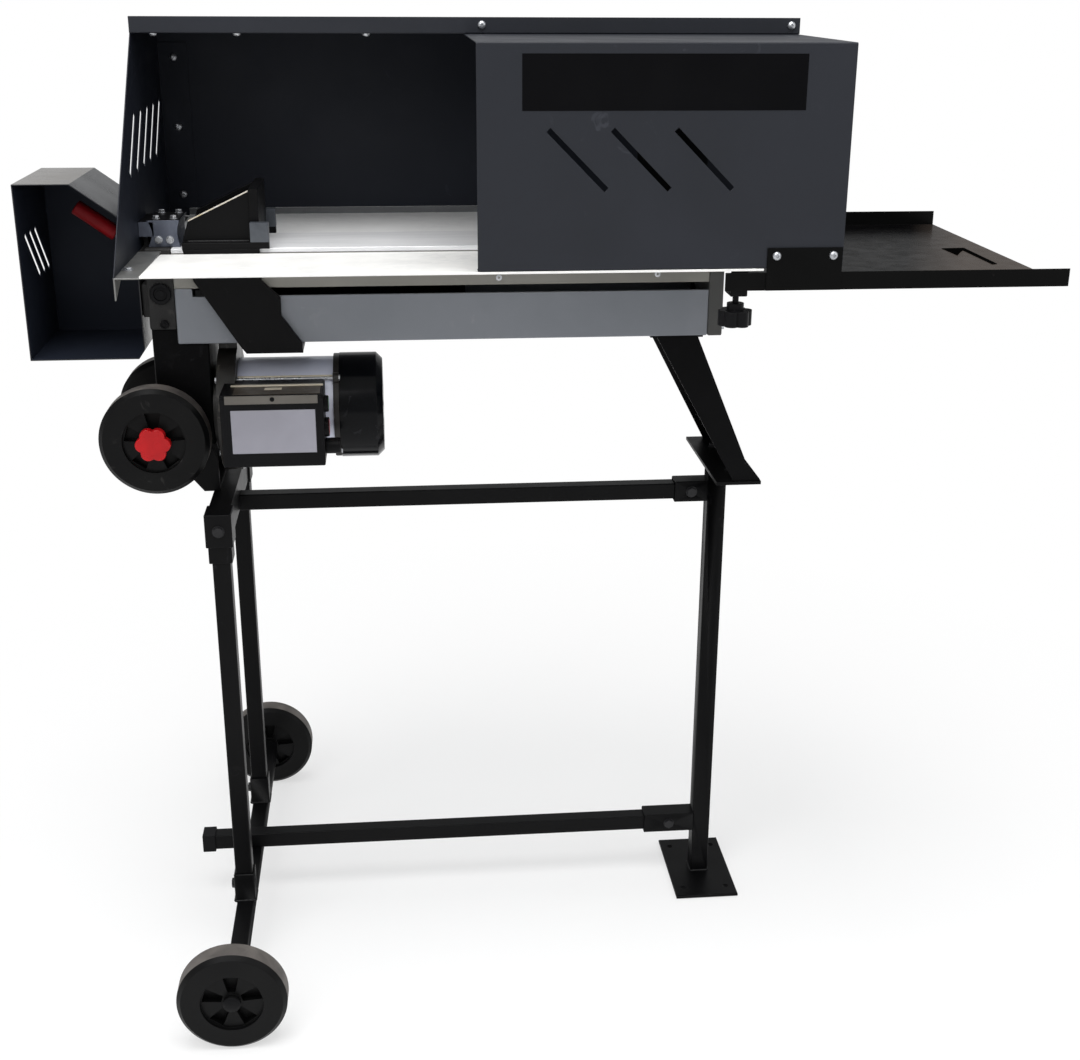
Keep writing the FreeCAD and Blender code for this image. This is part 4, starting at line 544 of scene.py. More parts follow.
FINISH_OF = {
    Slot.BLACK_PAINT: BLACK_PAINT, Slot.ANTHRACITE_PAINT: ANTHRACITE, Slot.BEAM_GREY: BEAM_GREY,
    Slot.GALVANISED: GALVANISED, Slot.GROUND_STEEL: GROUND_STEEL, Slot.ZINC_STEEL: ZINC_STEEL,
    Slot.HARD_CHROME: HARD_CHROME, Slot.CAST_GREY: CAST_GREY,
    Slot.SILVER_CASTING: SILVER_CASTING, Slot.MOTOR_SILVER: MOTOR_SILVER,
    Slot.ROTOR_STEEL: ROTOR_STEEL, Slot.BLACK_PLASTIC: BLACK_PLASTIC,
    Slot.BLACK_COVER: BLACK_COVER, Slot.RED_PLASTIC: RED_PLASTIC,
    Slot.GREEN_PLASTIC: GREEN_PLASTIC, Slot.PAD_PLASTIC: PAD_PLASTIC,
}


def soften(mesh: bmesh.types.BMesh, fold: float, edge: float) -> None:
    """Rounds a shape's edges: first its long open folds, then every other sharp edge.

    Args:
        mesh: the shape.
        fold: the radius of long convex edges between wide faces, in metres, or nought.
        edge: the radius of the other edges in metres.
    """
    if fold:
        long_edges = []
        for line in mesh.edges:
            if len(line.link_faces) != 2 or not line.is_convex:
                continue
            length = line.calc_length()
            width = min(face.calc_area() for face in line.link_faces) / max(length, MM)
            if length > 12 * fold and width > 2.4 * fold and line.calc_face_angle(0) > EDGE_ANGLE:
                long_edges.append(line)
        bmesh.ops.bevel(mesh, geom=long_edges, offset=fold, offset_type="OFFSET",
                        affect="EDGES", segments=4, profile=0.5, material=-1,
                        clamp_overlap=True)
    if edge:
        rest = [line for line in mesh.edges
                if len(line.link_faces) == 2 and line.calc_face_angle(0) > EDGE_ANGLE]
        bmesh.ops.bevel(mesh, geom=rest, offset=edge, offset_type="OFFSET", affect="EDGES",
                        segments=2, profile=0.5, material=-1, clamp_overlap=True)


def points_among(drawn: list) -> list[bmesh.types.BMVert]:
    """The points among what an operator has drawn out."""
    return [item for item in drawn if isinstance(item, bmesh.types.BMVert)]


def merged(node: str) -> bmesh.types.BMesh:
    """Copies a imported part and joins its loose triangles.

    Args:
        node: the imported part.

    Returns:
        The copy.
    """
    part = bmesh.new()
    part.from_mesh(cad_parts[node].data)
    bmesh.ops.remove_doubles(part, verts=part.verts, dist=MERGE_DISTANCE)
    return part


def flattened(node: str) -> bmesh.types.BMesh:
    """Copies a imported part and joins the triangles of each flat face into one.

    Args:
        node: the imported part.

    Returns:
        The copy.
    """
    part = merged(node)
    bmesh.ops.dissolve_limit(part, angle_limit=FLAT_ANGLE, verts=part.verts,
                             edges=part.edges)
    return part


class Form:
    """A shape that is built from operators, in the machine's frame."""

    def __init__(self) -> None:
        """Starts an empty shape."""
        self.mesh = bmesh.new()

    def take(self, part: bmesh.types.BMesh, fold: float = 0.0, edge: float = 0.0) -> "Form":
        """Rounds a part, turns its faces outwards and adds it to the shape.

        Args:
            part: the part, which is used up.
            fold: the radius of its long edges in metres.
            edge: the radius of its other edges in metres.

        Returns:
            The shape itself.
        """
        bmesh.ops.remove_doubles(part, verts=part.verts, dist=MERGE_DISTANCE)
        bmesh.ops.recalc_face_normals(part, faces=part.faces)
        soften(part, fold, edge)
        return self.absorb(part)

    def absorb(self, part: bmesh.types.BMesh) -> "Form":
        """Adds a part to the shape as it is.

        Args:
            part: the part, which is used up.

        Returns:
            The shape itself.
        """
        store = bpy.data.meshes.new("part")
        part.to_mesh(store)
        part.free()
        self.mesh.from_mesh(store)
        bpy.data.meshes.remove(store)
        return self

    def block(self, low: Point, high: Point, edge: float = 0.4 * MM) -> "Form":
        """Adds a block.

        Args:
            low: its low corner.
            high: its high corner.
            edge: the radius of its edges.

        Returns:
            The shape itself.
        """
        part = bmesh.new()
        low_corner, high_corner = Vector(low), Vector(high)
        size = Matrix.Diagonal((high_corner - low_corner).to_4d())
        size[3][3] = 1.0
        bmesh.ops.create_cube(part, size=1.0,
                              matrix=Matrix.Translation((low_corner + high_corner) / 2) @ size)
        return self.take(part, edge=edge)

    def rod(self, axis: Axis, start: Point, length: float, radius: float, sides: int = 32,
            edge: float = 0.4 * MM, end_radius: float | None = None) -> "Form":
        """Adds a round or many-sided bar.

        Args:
            axis: the direction that it runs along.
            start: the middle of its first end.
            length: its length, below nought to run the other way.
            radius: its radius at the start.
            sides: how many sides it has.
            edge: the radius of its edges.
            end_radius: its radius at the other end, if that differs.

        Returns:
            The shape itself.
        """
        part = bmesh.new()
        ends = (radius, radius if end_radius is None else end_radius)
        if length < 0:
            ends = ends[::-1]
        middle = Vector(start) + axis.vector * length / 2
        bmesh.ops.create_cone(part, cap_ends=True, cap_tris=False, segments=sides,
                              radius1=ends[0], radius2=ends[1], depth=abs(length),
                              matrix=Matrix.Translation(middle) @ axis.from_z)
        return self.take(part, edge=edge)

    def turned(self, axis: Axis, centre: Point, section: Section, steps: int = 48,
               closed: bool = False) -> "Form":
        """Adds a shape turned on a lathe.

        Args:
            axis: the direction of the lathe.
            centre: the point that the section starts from.
            section: (along, radius) points.
            steps: how many steps the turn has.
            closed: True when the section is a loop, as a ring's is.

        Returns:
            The shape itself.
        """
        part = bmesh.new()
        side = Axis.Z.vector if axis is Axis.X else Axis.X.vector
        points = [part.verts.new(Vector(centre) + axis.vector * along + side * radius)
                  for along, radius in section]
        lines = [part.edges.new(pair) for pair in zip(points, points[1:])]
        if closed:
            lines.append(part.edges.new((points[-1], points[0])))
        bmesh.ops.spin(part, geom=points + lines, cent=centre, axis=axis.vector,
                       angle=FULL_TURN, steps=steps, use_merge=True)
        bmesh.ops.remove_doubles(part, verts=part.verts, dist=MERGE_DISTANCE)
        bmesh.ops.dissolve_degenerate(part, edges=part.edges, dist=SLIVER)
        return self.take(part)

    def outline(self, corners: list[Point], depth: Point, edge: float = 0.3 * MM) -> "Form":
        """Adds a plate from its outline.

        Args:
            corners: the outline's corners in order.
            depth: how far and which way the outline is drawn out.
            edge: the radius of its edges.

        Returns:
            The shape itself.
        """
        part = bmesh.new()
        points = [part.verts.new(corner) for corner in corners]
        lines = [part.edges.new(pair) for pair in zip(points, points[1:] + points[:1])]
        face = bmesh.ops.contextual_create(part, geom=lines)["faces"]
        drawn = bmesh.ops.extrude_face_region(part, geom=face)["geom"]
        bmesh.ops.translate(part, verts=points_among(drawn), vec=depth)
        return self.take(part, edge=edge)

    def bead(self, start: Point, end: Point, radius: float) -> "Form":
        """Adds a rippled weld between two points.

        Args:
            start: where the weld starts.
            end: where it ends.
            radius: its thickness from its middle.

        Returns:
            The shape itself.
        """
        part = bmesh.new()
        first, last = Vector(start), Vector(end)
        run = last - first
        steps = max(6, int(run.length / (BEAD_STEP_SHARE * radius)))
        place = Matrix.Translation(first) @ run.to_track_quat("Z", "Y").to_matrix().to_4x4()
        bmesh.ops.create_circle(part, cap_ends=True, radius=radius * BEAD_END_SHARE,
                                segments=10, matrix=place)
        face = [next(iter(part.faces))]
        size = BEAD_END_SHARE
        for step in range(1, steps + 1):
            drawn = bmesh.ops.extrude_face_region(part, geom=face)["geom"]
            ring = points_among(drawn)
            face = [item for item in drawn if isinstance(item, bmesh.types.BMFace)]
            bmesh.ops.translate(part, verts=ring, vec=run / steps)
            wanted = 1.0 if step % 2 else BEAD_DIP_SHARE
            if step == steps:
                wanted = BEAD_END_SHARE
            middle = first + run * step / steps
            bmesh.ops.scale(part, verts=ring, vec=Vector((1, 1, 1)) * wanted / size,
                            space=Matrix.Translation(-middle))
            size = wanted
        return self.take(part)


def dressed(node: str, fold: float, edge: float) -> Form:
    """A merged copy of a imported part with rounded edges.

    Args:
        node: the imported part.
        fold: the radius of its long edges in metres.
        edge: the radius of its other edges in metres.

    Returns:
        The copy as a shape.
    """
    part = flattened(node)
    bmesh.ops.dissolve_degenerate(part, edges=part.edges, dist=2 * MERGE_DISTANCE)
    soften(part, fold, edge)
    return Form().absorb(part)


def solids_of(node: str) -> list[tuple[Vector, Vector, list[Vector]]]:
    """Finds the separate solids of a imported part.

    Args:
        node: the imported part.

    Returns:
        Each solid's low corner, high corner and points, in the order of the low corners.
    """
    part = merged(node)
    waiting = set(part.verts)
    solids = []
    while waiting:
        group, ends = set(), [min(waiting, key=lambda point: point.index)]
        while ends:
            point = ends.pop()
            if point in group:
                continue
            group.add(point)
            ends.extend(line.other_vert(point) for line in point.link_edges)
        waiting -= group
        places = [point.co.copy() for point in group]
        solids.append((*corners_of(places), places))
    part.free()
    return sorted(solids, key=lambda solid: tuple(round(number, 5) for number in solid[0]))


@dataclass(frozen=True)
class Patch:
    """A further finish on the faces of a piece that are turned one way."""

    finish: Finish
    toward: Point = (0.0, 0.0, 1.0)
    least: float = 0.97

    def covers(self, face: bpy.types.MeshPolygon, low: Vector, high: Vector) -> bool:
        """Whether the finish lies on a face of a piece with the given corners."""
        return face.normal.dot(Vector(self.toward)) > self.least

    def lay_on(self, mesh: bpy.types.Mesh) -> None:
        """Gives a mesh's covered faces the finish.

        Args:
            mesh: the piece's mesh.
        """
        mesh.materials.append(self.finish.material())
        low, high = corners_of([point.co for point in mesh.vertices])
        for face in mesh.polygons:
            if self.covers(face, low, high):
                face.material_index = len(mesh.materials) - 1


@dataclass(frozen=True)
class InwardShadePatch(Patch):
    """Painted shade on the faces that look towards the piece's middle."""

    def covers(self, face: bpy.types.MeshPolygon, low: Vector, high: Vector) -> bool:
        """Whether a face is turned inwards."""
        return ((low + high) / 2 - face.center).dot(face.normal) > 0


@dataclass(frozen=True)
class TreadPatch(Patch):
    """A further finish round a wheel's tread."""

    depth: float = 2.2 * MM

    def covers(self, face: bpy.types.MeshPolygon, low: Vector, high: Vector) -> bool:
        """Tests whether a face lies on the tread.

        Args:
            face: the face.
            low: the wheel's low corner.
            high: the wheel's high corner.

        Returns:
            True on the tread.
        """
        middle = (low + high) / 2
        reach = math.hypot(face.center.x - middle.x, face.center.z - middle.z)
        return reach > (high.z - low.z) / 2 - self.depth and abs(face.normal.y) < 0.5


def make(name: str, form: Form, body: str, slot: Slot, finish: Finish | None = None,
         replaces: tuple[str, ...] = (), patches: tuple[Patch, ...] = ()) -> bpy.types.Object:
    """Turns a shape into a piece of the machine.

    Args:
        name: the piece's name.
        form: its shape, which is used up.
        body: the body of the machine that it moves with.
        slot: the material slot that it takes its finish from.
        finish: its own finish, if it isn't the slot's usual one.
        replaces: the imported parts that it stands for.
        patches: further finishes for some of its faces.

    Returns:
        The piece.
    """
    mesh = bpy.data.meshes.new(name)
    form.mesh.to_mesh(mesh)
    form.mesh.free()
    mesh.polygons.foreach_set("use_smooth", [True] * len(mesh.polygons))
    mesh.set_sharp_from_angle(angle=SHADING_ANGLE)
    mesh.materials.append((finish or FINISH_OF[slot]).material())
    for patch in patches:
        patch.lay_on(mesh)
    piece = bpy.data.objects.new(name, mesh)
    bpy.context.scene.collection.objects.link(piece)
    weighted = piece.modifiers.new("even_light", "WEIGHTED_NORMAL")
    weighted.keep_sharp = True
    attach(piece, body)
    if replaces:
        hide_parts(*replaces)
    log.info("%s: %d faces on %s", name, len(mesh.polygons), body)
    return piece


@dataclass(frozen=True)
class Coat:
    """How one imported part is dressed."""

    node: str
    slot: Slot
    fold: float = 0.0
    edge: float = 0.5
    finish: Finish | None = None
    body: str = "frame"
    patches: tuple[Patch, ...] = ()

    def put_on(self) -> bpy.types.Object:
        """Makes the dressed part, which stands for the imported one."""
        return make(self.node + "_dressed", dressed(self.node, self.fold * MM, self.edge * MM),
                    self.body, self.slot, self.finish, (self.node,), self.patches)


@dataclass
class HexBolt:
    """A hexagon bolt with a flange washer, seen from its head."""

    across: float = 13 * MM
    washer: float = 8.5 * MM
    washer_thick: float = 1.2 * MM
    head_gap: float = 0.2 * MM
    shank_radius: float = 4 * MM

    def add_to(self, form: Form, axis: Axis, seat: Vector, head: float, shank: float) -> None:
        """Adds the bolt to a shape.

        Args:
            form: the shape that takes it.
            axis: the direction that it runs along.
            seat: the point that its head lies against.
            head: the head's height, below nought where it points down the axis.
            shank: the shank's length on the other side.
        """
        way = math.copysign(1.0, head)
        radius = self.across / math.sqrt(3)
        form.rod(axis, seat, way * self.washer_thick, self.washer, 36, 0.25 * MM)
        form.rod(axis, seat + axis.vector * way * self.washer_thick,
                 head - way * (self.washer_thick + self.head_gap), radius, 6, 0.5 * MM)
        form.rod(axis, seat, -way * shank, self.shank_radius, 24)


@dataclass(frozen=True)
class Slab:
    """A thin block on a part, its corners in millimetres from two of the part's corners."""

    low: Point
    high: Point
    edge: float

    def add_to(self, form: Form, near: Point, far: Point) -> None:
        """Adds the block to a shape.

        Args:
            form: the shape that takes it.
            near: the corner that its low corner is measured from.
            far: the corner that its high corner is measured from.
        """
        form.block([start + number * MM for start, number in zip(near, self.low)],
                   [start + number * MM for start, number in zip(far, self.high)],
                   self.edge * MM)


@dataclass
class Fasteners:
    """All bolts of the frame and all screws of the guards."""

    head: float = 5 * MM
    head_radius: float = 6.5 * MM
    least_head_radius: float = 5 * MM
    pin_below: float = 12 * MM
    painted_below: float = 0.73
    guard_back: float = 0.259
    nut_end_gap: float = 0.3 * MM
    nut_end: float = 2.6 * MM
    nut: tuple[Span, Span, Span] = ((0.9, 5.5), (1.9, 5.1), (2.9, 4.1))
    nut_mouth: Span = (1.8, 1.9)

    def build(self) -> None:
        """Makes the frame's bolts and the guards' screws."""
        self.frame_bolts()
        self.guard_screws()

    def frame_bolts(self) -> None:
        """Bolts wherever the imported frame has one, painted black on the stand, and the pin."""
        painted, bright, pin = Form(), Form(), Form()
        for low, high, places in solids_of("frame_bolts"):
            size = high - low
            axis = max(Axis, key=lambda way: abs(size[way.value] - 2 * self.head_radius))
            across = [size[way.value] for way in Axis if way is not axis]
            middle = (low + high) / 2
            start = middle.copy()
            start[axis.value] = low[axis.value]
            length = size[axis.value]
            if min(across) < self.pin_below:
                pin.rod(Axis.Y, (middle.x, low.y, middle.z), size.y, size.x / 2, 32, 0.8 * MM)
                continue
            form = painted if high.z < self.painted_below else bright
            near_low = [(place - start).length for place in places
                        if place[axis.value] < low[axis.value] + 0.1 * MM]
            seat = start.copy()
            if max(near_low) > self.least_head_radius:
                seat[axis.value] += self.head
                HexBolt().add_to(form, axis, seat, -self.head, length - self.head)
            else:
                seat[axis.value] += length - self.head
                HexBolt().add_to(form, axis, seat, self.head, length - self.head)
        make("beam_hex_bolts", bright, "frame", Slot.ZINC_STEEL, replaces=("frame_bolts",))
        make("stand_hex_bolts", painted, "frame", Slot.ZINC_STEEL, BLACK_ZINC)
        make("lever_pivot_pin", pin, "frame", Slot.ZINC_STEEL)

    def guard_screws(self) -> None:
        """Domed screws and nuts on the guards; those behind the back guard point away."""
        form = Form()
        for low, high, _ in solids_of("guard_bolts"):
            size, middle = high - low, (low + high) / 2
            axis = min(Axis, key=lambda way: size[way.value])
            outward = 1.0 if axis is Axis.Y and low.y > self.guard_back else -1.0
            thick = size[axis.value]
            seat = middle.copy()
            seat[axis.value] = low[axis.value] if outward > 0 else high[axis.value]
            end = outward * (thick - self.nut_end_gap)
            mouth, bore = self.nut_mouth
            dome = in_mm((0, 0), (0, self.nut[0][1]),
                         *[(outward * along, out) for along, out in self.nut])
            dome += [(end, self.nut_end), (end, bore * MM)]
            dome += in_mm((outward * mouth, bore), (outward * mouth, 0))
            form.turned(axis, seat, dome, 32)
        make("guard_screws", form, "frame", Slot.ZINC_STEEL, replaces=("guard_bolts",))


@dataclass
class RoadWheel:
    """A moulded wheel with a ribbed tread, a stepped rim and five openings."""

    node: str
    body: str
    groove_depth: float = 1.6 * MM
    groove_half: float = 1.1 * MM
    groove_shares: Point = (0.2, 0.5, 0.8)
    edge: float = 1.4 * MM

    def build(self) -> None:
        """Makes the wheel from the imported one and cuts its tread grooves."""
        low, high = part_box(self.node)
        centre = (low + high) / 2
        radius = (high.z - low.z) / 2
        part = flattened(self.node)
        tread = [point.co.y for point in part.verts
                 if math.hypot(point.co.x - centre.x, point.co.z - centre.z) > radius - MM]
        start, end = min(tread), max(tread)
        for share in self.groove_shares:
            self.cut_groove(part, centre, radius, start + (end - start) * share)
        soften(part, 0.0, self.edge)
        make(self.node + "_moulded", Form().absorb(part), self.body, Slot.BLACK_PLASTIC,
             TYRE_PLASTIC, (self.node,), (TreadPatch(DUSTY_TREAD_AND_HIGHLIGHT),))

    def cut_groove(self, part: bmesh.types.BMesh, centre: Vector, radius: float,
                   place: float) -> None:
        """Cuts one groove round the tread.

        Args:
            part: the wheel's mesh.
            centre: the wheel's middle.
            radius: the tread's radius.
            place: the groove's middle along Y.
        """
        sides = (place - self.groove_half, place + self.groove_half)
        for side in sides:
            geometry = list(part.faces) + list(part.edges) + list(part.verts)
            bmesh.ops.bisect_plane(part, geom=geometry, dist=MERGE_DISTANCE,
                                   plane_co=(centre.x, side, centre.z), plane_no=(0, 1, 0))
        band = []
        for face in part.faces:
            middle = face.calc_center_median()
            reach = math.hypot(middle.x - centre.x, middle.z - centre.z)
            if sides[0] < middle.y < sides[1] and reach > radius - 2 * MM:
                band.append(face)
        drawn = bmesh.ops.extrude_face_region(part, geom=band)["geom"]
        share = (radius - self.groove_depth) / radius
        bmesh.ops.scale(part, verts=points_among(drawn), vec=(share, 1.0, share),
                        space=Matrix.Translation(-centre))


@dataclass
class Stand:
    """The wheeled frame, its post and its two rails."""

    bead: float = 2.2 * MM
    post_x: float = 0.283
    post_half: float = 14 * MM
    foot_plate: float = 6 * MM
    saddle_plate: float = 4 * MM
    leg_offset: float = 0.144
    socket_half: float = 15 * MM
    axle_radius: float = 6 * MM
    axle_end: float = 4 * MM
    dome_cap: tuple[Span, ...] = ((4.3, 0.0), (4.3, 12.0), (3.2, 12.0), (1.6, 10.0),
                                  (0.5, 6.0), (0.1, 2.0), (0.1, 0.0))

    def build(self) -> None:
        """Dresses the stand, its welds and its two wheels."""
        for coat in (
                Coat("stand_axle_beam", Slot.BLACK_PAINT, 2.2, 0.5),
                Coat("stand_legs", Slot.BLACK_PAINT, 2.2, 0.4),
                Coat("stand_top_beam", Slot.BLACK_PAINT, 2.2, 0.6),
                Coat("stand_top_rail", Slot.BLACK_PAINT, 2.0, 0.4),
                Coat("stand_bottom_rail", Slot.BLACK_PAINT, 2.0, 0.4),
                Coat("stand_post", Slot.BLACK_PAINT, 2.0, 0.5),
                Coat("rail_end_cap", Slot.BLACK_PLASTIC, 0.0, 0.9)):
            coat.put_on()
        for end in ("front", "rear"):
            RoadWheel(f"stand_wheel_{end}", f"{end}_stand_wheel").build()
        self.welds()
        self.axle()

    def welds(self) -> None:
        """Lays the weld beads round the post's foot, its saddle and the axle beam's sockets."""
        form = Form()
        post_low, post_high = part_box("stand_post")
        for z in (post_low.z + self.foot_plate, post_high.z - self.saddle_plate):
            self.square_of_beads(form, self.post_x, 0.0, self.post_half, z)
        legs_low, legs_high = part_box("stand_legs")
        middle_x = (legs_low.x + legs_high.x) / 2
        for y in (-self.leg_offset, self.leg_offset):
            self.square_of_beads(form, middle_x, y, self.socket_half, legs_low.z)
        make("stand_welds", form, "frame", Slot.BLACK_PAINT, WELD_BLACK)

    def square_of_beads(self, form: Form, x: float, y: float, half: float, z: float) -> None:
        """Lays four beads round a square tube.

        Args:
            form: the shape that takes them.
            x: the tube's middle along X.
            y: the tube's middle along Y.
            half: half of the tube's side.
            z: the height of the weld.
        """
        for side in (-half, half):
            form.bead((x - half, y + side, z), (x + half, y + side, z), self.bead)
            form.bead((x + side, y - half, z), (x + side, y + half, z), self.bead)

    def axle(self) -> None:
        """The wheels' axle with a black domed cap pressed on each end."""
        form, bar = Form(), Form()
        low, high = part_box("stand_axle")
        x, z = (low.x + high.x) / 2, (low.z + high.z) / 2
        bar.rod(Axis.Y, (x, low.y + self.axle_end, z), high.y - low.y - 2 * self.axle_end,
                self.axle_radius)
        for y, way in ((low.y, 1.0), (high.y, -1.0)):
            dome = in_mm(*[(way * along, out) for along, out in self.dome_cap])
            form.turned(Axis.Y, (x, y, z), dome, 40)
        make("stand_axle_bar", bar, "frame", Slot.ZINC_STEEL, replaces=("stand_axle",))
        make("axle_dome_caps", form, "frame", Slot.BLACK_PLASTIC)


@dataclass
class Beam:
    """The hydraulic beam with its tank, bed, castings, mount and wedge."""

    tank_screw_places: tuple[Span, Span] = ((-0.0472, 1.0029), (0.1735, 1.0050))
    tank_screw: tuple[Span, ...] = ((0.0, 0.0), (0.0, 4.2), (-1.2, 4.2), (-1.4, 3.9),
                                    (-1.4, 1.5), (-0.6, 1.3), (-0.6, 0.0))
    tank_screw_sink: float = 1.0 * MM
    plug_shares: tuple[Span, ...] = ((5, 0.0), (5, 1.0), (1.6, 1.0), (0.5, 0.94), (0.3, 0.8),
                                     (0.3, 0.66), (1.8, 0.6), (1.8, 0.0))
    plug_grip_reach: float = 1.4 * MM
    plug_ridges: int = 18
    least_ridged_radius: float = 10 * MM
    mount_width: float = 44 * MM
    mount_tab_end: float = 40 * MM
    mount_tab_lap: float = 6 * MM
    mount_tab_z: Span = (14 * MM, 34 * MM)
    mount_waist: float = 6 * MM
    mount_right_waist_share: float = 0.6
    mount_steps: int = 8
    top_bolts_x: Span = (9 * MM, 32 * MM)
    top_bolts_y: float = 12 * MM
    front_bolts_x: Span = (14 * MM, 29 * MM)
    front_bolts_z: float = 10 * MM
    bolt_shank: float = 8 * MM

    def build(self) -> None:
        """Dresses the beam and its plugs."""
        for coat in (
                Coat("beam_profile", Slot.BEAM_GREY, 3.0, 0.6),
                Coat("oil_tank", Slot.BEAM_GREY, 3.0, 0.6, TANK_GREY),
                Coat("bed_plate", Slot.GROUND_STEEL, 0.0, 0.8),
                Coat("beam_end_cap", Slot.CAST_GREY, 2.5, 0.8, CAP_GREY),
                Coat("end_casting", Slot.CAST_GREY, 3.0, 0.8),
                Coat("wedge", Slot.BLACK_PAINT, 0.0, 0.8),
                Coat("support_leg", Slot.BLACK_PAINT, 2.0, 0.6)):
            coat.put_on()
        self.plugs()
        self.tank_screws()
        self.mount()

    def tank_screws(self) -> None:
        """Two flush screws in the tank's front, which the cheeks pass over."""
        form = Form()
        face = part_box("oil_tank")[0].y
        for x, z in self.tank_screw_places:
            form.turned(Axis.Y, (x, face + self.tank_screw_sink, z),
                        in_mm(*self.tank_screw), 28)
        make("tank_front_screws", form, "frame", Slot.ZINC_STEEL)

    def plugs(self) -> None:
        """The round filler plug with its ridged grip and the small bleed screw."""
        form = Form()
        for low, high, _ in solids_of("tank_plugs"):
            middle = ((low.x + high.x) / 2, low.y, (low.z + high.z) / 2)
            radius = (high.x - low.x) / 2
            stem = radius / 2
            section = [(along * MM, radius * share) for along, share in self.plug_shares]
            form.turned(Axis.Y, middle, section, 40)
            form.rod(Axis.Y, (middle[0], middle[1] + 1.6 * MM, middle[2]), -1.2 * MM,
                     radius * 0.42, 6, 0.3 * MM)
            form.rod(Axis.Y, (middle[0], middle[1] + 4.8 * MM, middle[2]),
                     high.y - low.y - 4.8 * MM, stem, 24)
            if radius > self.least_ridged_radius:
                for step in range(self.plug_ridges):
                    angle = FULL_TURN * step / self.plug_ridges
                    form.rod(Axis.Y, (middle[0] + radius * math.cos(angle),
                                      middle[1] + self.plug_grip_reach,
                                      middle[2] + radius * math.sin(angle)),
                             3.4 * MM, 0.9 * MM, 8, 0.3 * MM)
        make("filler_and_bleed_plugs", form, "frame", Slot.BLACK_PLASTIC,
             replaces=("tank_plugs",))

    def mount(self) -> None:
        """The silver guard mount with its hollowed sides, its tab and the bolts on it."""
        low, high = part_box("guard_mount")
        form, bolts = Form(), Form()
        left, tab_end = high.x - self.mount_width, high.x - self.mount_tab_end
        shares = [step / self.mount_steps for step in range(self.mount_steps + 1)]
        side = [(share * (high.z - low.z), math.sin(math.pi * share) * self.mount_waist)
                for share in shares]
        corners = [(left + waist, low.y, low.z + up) for up, waist in side]
        corners += [(high.x - waist * self.mount_right_waist_share, low.y, low.z + up)
                    for up, waist in reversed(side)]
        form.outline(corners, (0, high.y - low.y, 0), 1.2 * MM)
        under, over = self.mount_tab_z
        form.block((low.x, low.y, low.z + under),
                   (tab_end + self.mount_tab_lap, high.y, low.z + over), 0.8 * MM)
        make("guard_mount_casting", form, "frame", Slot.SILVER_CASTING,
             replaces=("guard_mount",), patches=(Patch(BLACK_PAINT, least=0.7),))
        bolt = HexBolt(8 * MM, 5.4 * MM, 0.8 * MM)
        for inward in self.top_bolts_x:
            for y in (low.y + self.top_bolts_y, high.y - self.top_bolts_y):
                bolt.add_to(bolts, Axis.Z, Vector((high.x - inward, y, high.z)), 5 * MM,
                            self.bolt_shank)
        for inward in self.front_bolts_x:
            seat = Vector((high.x - inward, low.y, low.z + self.front_bolts_z))
            bolt.add_to(bolts, Axis.Y, seat, -4 * MM, self.bolt_shank)
        make("mount_bolts", bolts, "frame", Slot.ZINC_STEEL)


@dataclass
class Ram:
    """The pusher that slides along the bed, and its cylinder."""

    plate_thick: float = 8 * MM
    rib_front: float = -58 * MM
    rib_back: float = 48 * MM
    rib_thick: float = 10 * MM
    rib_x: Span = (8.5 * MM, 89.5 * MM)
    rib_z: Span = (27.2 * MM, 65.8 * MM)
    strip_depth: Span = (-MM, 0.6 * MM)
    weld_x: Span = (6 * MM, 88 * MM)
    shoe_width: float = 12 * MM
    shoe: Slab = Slab((-24.7, -0.3, 8.5), (0.3, 12.3, 34.3), 1.0)

    def build(self) -> None:
        """Dresses the pusher, its pale rib tops, its shoes and its welds."""
        for coat in (
                Coat("pusher_head", Slot.BLACK_PAINT, 1.5, 0.6, body="pusher"),
                Coat("pusher_cheeks", Slot.BLACK_PAINT, 1.5, 0.6, body="pusher"),
                Coat("pusher_keeper", Slot.BLACK_PAINT, 1.0, 0.5, body="pusher"),
                Coat("slide_pads", Slot.PAD_PLASTIC, 0.0, 0.5, body="pusher"),
                Coat("crosshead", Slot.BLACK_PAINT, 0.0, 0.4, body="pusher"),
                Coat("cylinder_barrel", Slot.BLACK_PAINT, 0.0, 0.8, body="pusher"),
                Coat("piston_rod", Slot.HARD_CHROME, 0.0, 0.6)):
            coat.put_on()
        self.ribs()

    def ribs(self) -> None:
        """The pale strip on the front rib's top, the ribs' welds and the grey shoes."""
        low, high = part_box("pusher_head")
        strip, weld, shoes = Form(), Form(), Form()
        plate_top = low.z + self.plate_thick
        start, end = [(low.x + along, plate_top + up)
                      for along, up in zip(self.rib_x, self.rib_z)]
        under, over = self.strip_depth
        corners = [(x, self.rib_front, z + up)
                   for (x, z), up in ((start, under), (end, under), (end, over), (start, over))]
        strip.outline(corners, (0, self.rib_thick, 0), 0.2 * MM)
        for y in (self.rib_front, self.rib_back):
            for side in (0.0, self.rib_thick):
                first, last = [(low.x + along, y + side, plate_top) for along in self.weld_x]
                weld.bead(first, last, 2.0 * MM)
        for y in (low.y, high.y - self.shoe_width):
            self.shoe.add_to(shoes, (high.x, y, low.z), (high.x, y, low.z))
        make("pale_rib_top_strips", strip, "pusher", Slot.GROUND_STEEL, RIB_EDGE)
        make("pusher_welds", weld, "pusher", Slot.BLACK_PAINT, WELD_BLACK)
        make("pusher_shoe_skins", shoes, "pusher", Slot.GROUND_STEEL, SHOE_GREY)


